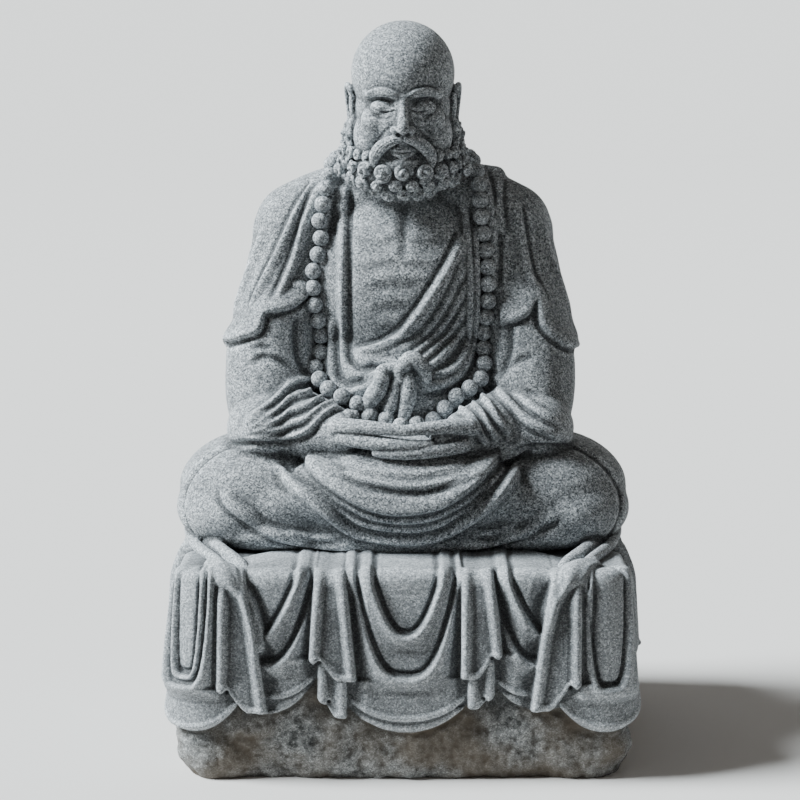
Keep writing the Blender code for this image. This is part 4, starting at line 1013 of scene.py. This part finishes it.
def curl_places():
    """Where each curl sits, which way it faces and its radius, in heads."""
    rows = [
        (0.15, 0.345, 0.30, 0.062, 40, 108, 5),
        (0.065, 0.365, 0.345, 0.068, 0, 104, 6),
        (-0.020, 0.335, 0.345, 0.066, 9, 92, 5),
        (-0.085, 0.230, 0.300, 0.055, 0, 72, 4),
    ]
    places = []
    for up, wide, deep, radius, first, last, count in rows:
        for i in range(count):
            angle = math.radians(first + (last - first) * i / (count - 1))
            swell = radius * (1 + 0.20 * math.sin(5 * i + 40 * up))
            for side in (-1, 1) if angle else (1,):
                out = Vector((side * math.sin(angle), -math.cos(angle), 3 * (up - 0.06)))
                place = (side * wide * math.sin(angle), -deep * math.cos(angle) - 0.02, up)
                places.append((place, out, swell))
    for side in (-1, 1):
        for i in range(6):
            across = side * (0.345 + 0.012 * i + 0.012 * (i % 2))
            places.append(((across, 0.05 - 0.02 * i, 0.300 - 0.055 * i), Vector((side, -0.4, 0)), 0.060))
    for i in range(9):
        angle = math.radians(-80 + 20 * i)
        for up in (0.26, 0.15):
            out = Vector((math.sin(angle), math.cos(angle), 0))
            places.append(((0.31 * math.sin(angle), 0.04 + 0.30 * math.cos(angle), up), out, 0.065))
    return places


def curl_tree(material):
    """A snail of hair on each point, turned to face outwards and spun at random."""
    sizes = {"Turns": 1.6, "Roll": 0.21, "Core": 0.66, "Seed": 3}
    tree, given, made = node_tree("curls of hair", sizes)
    nodes, start = tree.nodes, given.outputs
    shape = {"Resolution": 24, "Start Radius": 0.08, "End Radius": 0.76, "Height": -0.60}
    spiral = add(nodes, "GeometryNodeCurveSpiral", {**shape, "Rotations": start["Turns"]})
    raised = {"Geometry": spiral.outputs[0], "Translation": (0, 0, 0.76)}
    lift = add(nodes, "GeometryNodeTransform", raised)
    circle = add(nodes, "GeometryNodeCurvePrimitiveCircle", {"Resolution": 10, "Radius": start["Roll"]})
    swept = {"Curve": lift.outputs[0], "Profile Curve": circle.outputs[0], "Fill Caps": True}
    lock = add(nodes, "GeometryNodeCurveToMesh", swept)
    core = add(nodes, "GeometryNodeMeshIcoSphere", {"Subdivisions": 3, "Radius": start["Core"]})
    snail = nodes.new("GeometryNodeJoinGeometry")
    for part in (lock, core):
        tree.links.new(part.outputs["Mesh"], snail.inputs["Geometry"])
    out = add(nodes, "GeometryNodeInputNamedAttribute", {"Name": "out"}, data_type="FLOAT_VECTOR")
    size = add(nodes, "GeometryNodeInputNamedAttribute", {"Name": "size"}, data_type="FLOAT")
    outwards = {"Vector": out.outputs["Attribute"]}
    facing = add(nodes, "FunctionNodeAlignRotationToVector", outwards, axis="Z")
    spin = add(nodes, "FunctionNodeRandomValue", {3: math.tau, "Seed": start["Seed"]}, data_type="FLOAT")
    about = add(nodes, "ShaderNodeCombineXYZ", {"Z": spin.outputs[1]})
    both = {"Rotation": facing.outputs[0], "Rotate By": about.outputs[0]}
    turned = add(nodes, "FunctionNodeRotateRotation", both, rotation_space="LOCAL")
    places = {
        "Points": start["Geometry"], "Instance": snail.outputs[0], "Rotation": turned.outputs[0],
        "Scale": size.outputs["Attribute"],
    }
    end_tree(made, add(nodes, "GeometryNodeInstanceOnPoints", places), material)
    return tree


def curls(material):
    """The curled beard, the locks before the ears and the curls round the nape."""
    places = curl_places()
    mesh = bpy.data.meshes.new("curls")
    mesh.from_pydata([place for place, _, _ in places], [], [])
    out = mesh.attributes.new("out", "FLOAT_VECTOR", "POINT")
    out.data.foreach_set("vector", [n for _, way, _ in places for n in way.normalized()])
    size = mesh.attributes.new("size", "FLOAT", "POINT")
    size.data.foreach_set("value", [radius for _, _, radius in places])
    return grown("curls", new_object("curls", mesh), curl_tree(material), {})


def head(material):
    """The bowed head, bald above with a curled beard."""
    form = fuse("head", head_masses(), HEAD_VOXEL, HEAD_SOFT)
    carve(form, socket_folds(), HEAD_VOXEL, 1, 0)
    form = fuse("head", [form, *features()], HEAD_VOXEL, FEATURE_SOFT)
    carve(form, face_folds(), HEAD_VOXEL, 1, 0)
    form = fuse("head", [form, curls(material)], HEAD_VOXEL)
    place = Matrix.Translation(at(*CHIN_PLACE)) @ Matrix.Rotation(math.radians(HEAD_BOW), 4, "X")
    form.data.transform(place @ Matrix.Scale(HEAD_SHARE * FIGURE_HEIGHT, 4))
    return form


def seat():
    """The block under the figure: cloth over its edge above, rough rock below."""
    top = SEAT_TOP - SWAG_THICKNESS
    bpy.ops.mesh.primitive_cube_add(size=1)
    block = bpy.context.object
    block.data.transform(Matrix.Diagonal((SEAT_WIDTH, SEAT_DEPTH, top + SUNK, 1)))
    block.data.transform(Matrix.Translation((0, 0, (top - SUNK) / 2)))
    with edited(block.data) as shape:
        upright = [e for e in shape.edges if abs(e.verts[0].co.z - e.verts[1].co.z) > SEAT_TOP / 2]
        bmesh.ops.bevel(shape, geom=upright, offset=SEAT_CORNER, segments=10, profile=0.5, affect="EDGES")
    form = fuse("draped seat", [block], SEAT_VOXEL, SEAT_EDGE)
    points, normals = points_of(form)
    s, t = unroll(points)
    relief, covered = cloth_relief(s, t)
    on_rock = 1 - covered
    drawn_in = ROCK_FOOT * np.clip(1 - points[:, 2] / ROCK_FOOT_HEIGHT, 0, 1.3) ** 2
    flare = FLARE * np.clip(t, 0, CLOTH_DROP) * covered
    relief = relief + flare + on_rock * (ROCK_LUMP * lumps(points) + ROCK_OUT - drawn_in)
    move_out(form, points, normals, relief * (normals[:, 2] > -0.5))
    store(form, "rock", on_rock * (points[:, 2] < SEAT_TOP / 2))
    cut_flat(form)
    return form


def thin_out(form, faces):
    """Fewer, larger triangles where the carving is plain."""
    now = sum(len(p.vertices) - 2 for p in form.data.polygons)
    if now > faces:
        reduce = form.modifiers.new("thin out", "DECIMATE")
        reduce.ratio = faces / now
        reduce.use_collapse_triangulate = True
        settle(form)


def store(form, name, values):
    """Keeps a number for each vertex, which a material reads by name."""
    found = form.data.attributes.get(name) or form.data.attributes.new(name, "FLOAT", "POINT")
    found.data.foreach_set("value", values.astype(np.float32))


def evened(points, edges, rounds):
    """The points after each has moved halfway to its neighbours' middle a number of times."""
    first, second = edges[:, 0], edges[:, 1]
    count = len(points)
    neighbours = np.bincount(edges.ravel(), minlength=count)
    for _ in range(rounds):
        for axis in range(3):
            along = points[:, axis]
            total = np.bincount(first, along[second], count) + np.bincount(second, along[first], count)
            points[:, axis] = 0.5 * along + 0.5 * total / np.maximum(neighbours, 1)
    return points


def mark_hollows(form):
    """Keeps how hollow the surface is, from -1 on a ridge to 1 in a crease, on two scales."""
    points, normals = points_of(form)
    edges = np.empty(len(form.data.edges) * 2, dtype=np.int64)
    form.data.edges.foreach_get("vertices", edges)
    edges = edges.reshape(-1, 2)
    length = np.linalg.norm(points[edges[:, 0]] - points[edges[:, 1]], axis=1).mean()
    for name, span in (("crease", CREASE_SPAN), ("hollow", HOLLOW_SPAN)):
        rounds = min(200, round(4 * (span / length) ** 2))
        depth = ((evened(points.copy(), edges, rounds) - points) * normals).sum(axis=1)
        store(form, name, np.clip(depth / (0.35 * span), -1, 1))


def shader_group(name, inputs, outputs):
    """A shader node group with named inputs and outputs."""
    group = bpy.data.node_groups.new(name, "ShaderNodeTree")
    for label, kind, value in inputs:
        socket = group.interface.new_socket(label, in_out="INPUT", socket_type=kind)
        if value is not None:
            socket.default_value = value
    for label, kind in outputs:
        group.interface.new_socket(label, in_out="OUTPUT", socket_type=kind)
    return group, group.nodes.new("NodeGroupInput"), group.nodes.new("NodeGroupOutput")


def math_node(nodes, operation, *values):
    """The result of a Math node whose inputs are numbers or sockets."""
    return add(nodes, "ShaderNodeMath", dict(enumerate(values)), operation=operation).outputs[0]


def graded(nodes, value, low, high):
    """0 where the value is low, 1 where it is high and smooth between."""
    values = {"Value": value, "From Min": low, "From Max": high}
    return add(nodes, "ShaderNodeMapRange", values, interpolation_type="SMOOTHSTEP").outputs["Result"]


def blended(nodes, share, first, second, how="MIX"):
    """Two colours mixed by a share. Each is a colour or a socket."""
    values = {0: share, 6: first, 7: second}
    return add(nodes, "ShaderNodeMix", values, data_type="RGBA", blend_type=how).outputs[2]


def speckle_group():
    """Salt-and-pepper grains of feldspar, quartz and mica, as a colour and a height."""
    colour, number = "NodeSocketColor", "NodeSocketFloat"
    inputs = [
        ("Place", "NodeSocketVector", None), ("Grain", number, 0.0013), ("Contrast", number, 1.0),
        ("Ground", colour, (0.235, 0.25, 0.262, 1)), ("Light", colour, (0.62, 0.65, 0.67, 1)),
        ("Dark", colour, (0.05, 0.056, 0.062, 1)),
    ]
    group, given, made = shader_group("granite speckle", inputs, [("Color", colour), ("Height", number)])
    nodes, start, link = group.nodes, given.outputs, group.links.new
    fineness = math_node(nodes, "DIVIDE", 1.0, start["Grain"])
    coarse = math_node(nodes, "MULTIPLY", fineness, 0.3)
    cells = add(nodes, "ShaderNodeTexVoronoi", {"Vector": start["Place"], "Scale": fineness})
    split = add(nodes, "ShaderNodeSeparateColor", {"Color": cells.outputs["Color"]})
    mist = add(nodes, "ShaderNodeTexNoise", {"Vector": start["Place"], "Scale": coarse, "Detail": 1})
    drift = math_node(nodes, "MULTIPLY", math_node(nodes, "SUBTRACT", mist.outputs["Fac"], 0.5), 0.5)
    chance = math_node(nodes, "ADD", split.outputs["Red"], drift)
    pale = math_node(nodes, "MULTIPLY", graded(nodes, chance, 0.55, 1.05), start["Contrast"])
    deep = math_node(nodes, "MULTIPLY", graded(nodes, chance, 0.45, -0.05), start["Contrast"])
    grain = blended(nodes, deep, blended(nodes, pale, start["Ground"], start["Light"]), start["Dark"])
    link(grain, made.inputs["Color"])
    link(split.outputs["Green"], made.inputs["Height"])
    return group


def shade_and_wear_group():
    """Darkens creases and hollows with painted shade, partly dirt, and lightens ridges with a painted
    highlight, partly wear.
    """
    colour, number = "NodeSocketColor", "NodeSocketFloat"
    inputs = [
        ("Color", colour, None), ("Crease", number, 0.0), ("Hollow", number, 0.0),
        ("Depth", number, 0.62), ("Rub", number, 0.42),
    ]
    group, given, made = shader_group("weathering", inputs, [("Color", colour)])
    nodes, start = group.nodes, given.outputs
    fine = graded(nodes, start["Crease"], 0.02, 0.50)
    broad = graded(nodes, start["Hollow"], 0.05, 0.70)
    # Painted shade: the colour darkens in creases and hollows, where shade falls, partly standing for dirt
    deep = math_node(nodes, "MULTIPLY", math_node(nodes, "MAXIMUM", fine, broad), start["Depth"])
    # Painted highlight: the colour lightens on ridges, partly standing for wear
    ridge = math_node(nodes, "MULTIPLY", start["Crease"], -1.0)
    ridge_highlight = math_node(nodes, "MULTIPLY", graded(nodes, ridge, 0.03, 0.45), start["Rub"])
    left, more = math_node(nodes, "SUBTRACT", 1.0, deep), math_node(nodes, "ADD", 1.0, ridge_highlight)
    gain = math_node(nodes, "MULTIPLY", left, more)
    scaled = add(nodes, "ShaderNodeVectorMath", operation="SCALE")
    group.links.new(start["Color"], scaled.inputs[0])
    group.links.new(gain, scaled.inputs["Scale"])
    group.links.new(scaled.outputs[0], made.inputs["Color"])
    return group


def new_material(name, roughness, specular):
    """A material, and its shader with a roughness and a specular level."""
    made = bpy.data.materials.new(name)
    made.use_nodes = True
    shader = made.node_tree.nodes["Principled BSDF"]
    shader.inputs["Roughness"].default_value = roughness
    shader.inputs["Specular IOR Level"].default_value = specular
    return made, shader


def granite(name, groups, contrast, soil):
    """Matt speckled granite. Soil is how much brown dirt lies in patches over the rock."""
    speckle, shade_and_wear = groups
    stone, shader = new_material(name, 0.82, 0.35)
    nodes, link = stone.node_tree.nodes, stone.node_tree.links.new
    place = nodes.new("ShaderNodeTexCoord").outputs["Object"]

    def marked(label):
        return add(nodes, "ShaderNodeAttribute", attribute_name=label).outputs["Fac"]

    grains = add(nodes, "ShaderNodeGroup", {"Contrast": contrast, "Place": place}, node_tree=speckle)
    # The crease and hollow marks darken the colour with painted shade and lighten ridges with a painted
    # highlight
    marks = {"Crease": marked("crease"), "Hollow": marked("hollow")}
    shaded_and_worn = add(nodes, "ShaderNodeGroup", {"Color": grains.outputs["Color"], **marks}, node_tree=shade_and_wear)
    colour = shaded_and_worn.outputs["Color"]
    cloud = add(nodes, "ShaderNodeTexNoise", {"Vector": place, "Scale": 14, "Detail": 4})
    patchy = graded(nodes, cloud.outputs["Fac"], 0.35, 0.65)
    if soil:
        rock = marked("rock")
        colour = blended(nodes, rock, colour, ROCK_TONE, "MULTIPLY")
        held = math_node(nodes, "MULTIPLY", math_node(nodes, "MULTIPLY", rock, patchy), soil)
        colour = blended(nodes, held, colour, (0.085, 0.066, 0.046, 1))
    else:
        faint = math_node(nodes, "MULTIPLY", patchy, 0.12)
        colour = blended(nodes, faint, colour, (0.16, 0.18, 0.20, 1))
    link(colour, shader.inputs["Base Color"])
    relief = {"Strength": 0.45, "Distance": 0.0004, "Height": grains.outputs["Height"]}
    link(add(nodes, "ShaderNodeBump", relief).outputs["Normal"], shader.inputs["Normal"])
    return stone


def matt_colour(name, shade):
    """A plain matt material for the studio's surfaces."""
    matt, shader = new_material(name, 1, 0)
    shader.inputs["Base Color"].default_value = (*shade, 1)
    return matt


def pale_floor():
    """A wide matt floor that rises gently behind. It isn't part of the object."""
    profile = [(-FLOOR_HALF, 0), (SWEEP_START, 0)]
    slope = math.radians(SWEEP_SLOPE)
    for i in range(1, SWEEP_STEPS + 1):
        angle = slope * i / SWEEP_STEPS
        profile.append((SWEEP_START + SWEEP * math.sin(angle), SWEEP * (1 - math.cos(angle))))
    y, z = profile[-1]
    profile.append((y + SLOPE_LENGTH * math.cos(slope), z + SLOPE_LENGTH * math.sin(slope)))
    mesh = bpy.data.meshes.new("floor")
    points = [(x, y, z) for y, z in profile for x in (-FLOOR_HALF, FLOOR_HALF)]
    faces = [(2 * i, 2 * i + 1, 2 * i + 3, 2 * i + 2) for i in range(len(profile) - 1)]
    mesh.from_pydata(points, [], faces)
    mesh.shade_smooth()
    mesh.materials.append(matt_colour("pale floor", (0.80, 0.78, 0.76)))
    new_object("floor", mesh)


def dark_card(name, low, high):
    """A dark card laid on the floor outside the view, to hold back its bounced light."""
    (x0, y0), (x1, y1) = low, high
    mesh = bpy.data.meshes.new(name)
    corners = [(x, y, CARD_LIFT) for x, y in ((x0, y0), (x1, y0), (x1, y1), (x0, y1))]
    mesh.from_pydata(corners, [], [(0, 1, 2, 3)])
    mesh.materials.append(matt_colour(name, (0.02, 0.02, 0.02)))
    new_object(name, mesh)


def studio():
    """Plain soft light from the viewer's upper left, with a pale surround."""
    key = bpy.data.lights.new("key", "SUN")
    key.energy = 10.2
    key.angle = math.radians(26)
    key.color = (0.90, 0.97, 1.0)
    lamp = new_object("key", key)
    lamp.rotation_euler = Vector((-0.78, -0.11, 0.64)).to_track_quat("Z", "Y").to_euler()
    surround = bpy.data.worlds.new("surround")
    surround.use_nodes = True
    surround.node_tree.nodes["Background"].inputs["Color"].default_value = (1.0, 0.94, 0.87, 1)
    surround.node_tree.nodes["Background"].inputs["Strength"].default_value = 0.13
    bpy.context.scene.world = surround
    dark_card("front_card", (-3, -4), (3, -0.40))
    dark_card("side_card", (0.66, -0.40), (4, 0.60))


def camera():
    """The viewer stands in front and looks slightly down."""
    view = new_object("camera", bpy.data.cameras.new("camera"))
    view.location = (0, -CAMERA_BACK, CAMERA_UP)
    view.rotation_euler = (math.radians(90 - CAMERA_DOWN), 0, 0)
    view.data.sensor_width = 36
    view.data.lens = CAMERA_LENS
    view.data.shift_x = CAMERA_SHIFT
    bpy.context.scene.camera = view


def finish_piece(form, material):
    """Thins, marks and paints a piece, and fixes it to the frame."""
    mark_hollows(form)
    thin_out(form, PIECE_FACES)
    if not form.data.materials:
        form.data.materials.append(material)
    form.data.shade_smooth()
    form.name = form.name.replace(" ", "_")
    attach(form, "root")
    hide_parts("statue")


def main():
    groups = (speckle_group(), shade_and_wear_group())
    dressed = granite("dressed granite", groups, 1.0, 0)
    split = granite("split granite", groups, 0.6, 0.8)
    body = figure()
    tied = fuse("knot", knot(surface_of(body)), HAND_VOXEL, HAND_SOFT)
    both = joined("both", [copied(body), copied(tied)])
    route = strand(surface_of(both))
    bpy.data.objects.remove(both)
    robe = fuse("robe", [body, *hems_on_seat()], BODY_VOXEL)
    sizes = {"Bead": BEAD, "Pitch": BEAD_PITCH}
    beads = grown("rosary", line_object("rosary", route), bead_tree(dressed), sizes)
    mudra = fuse("hands", hands(), HAND_VOXEL, HAND_SOFT)
    for piece in (robe, mudra, tied, beads, head(dressed)):
        finish_piece(piece, dressed)
    finish_piece(seat(), split)
    pale_floor()
    studio()
    camera()


def copied(form):
    """A second object with a mesh of its own."""
    twin = form.copy()
    twin.data = form.data.copy()
    bpy.context.scene.collection.objects.link(twin)
    return twin


main()
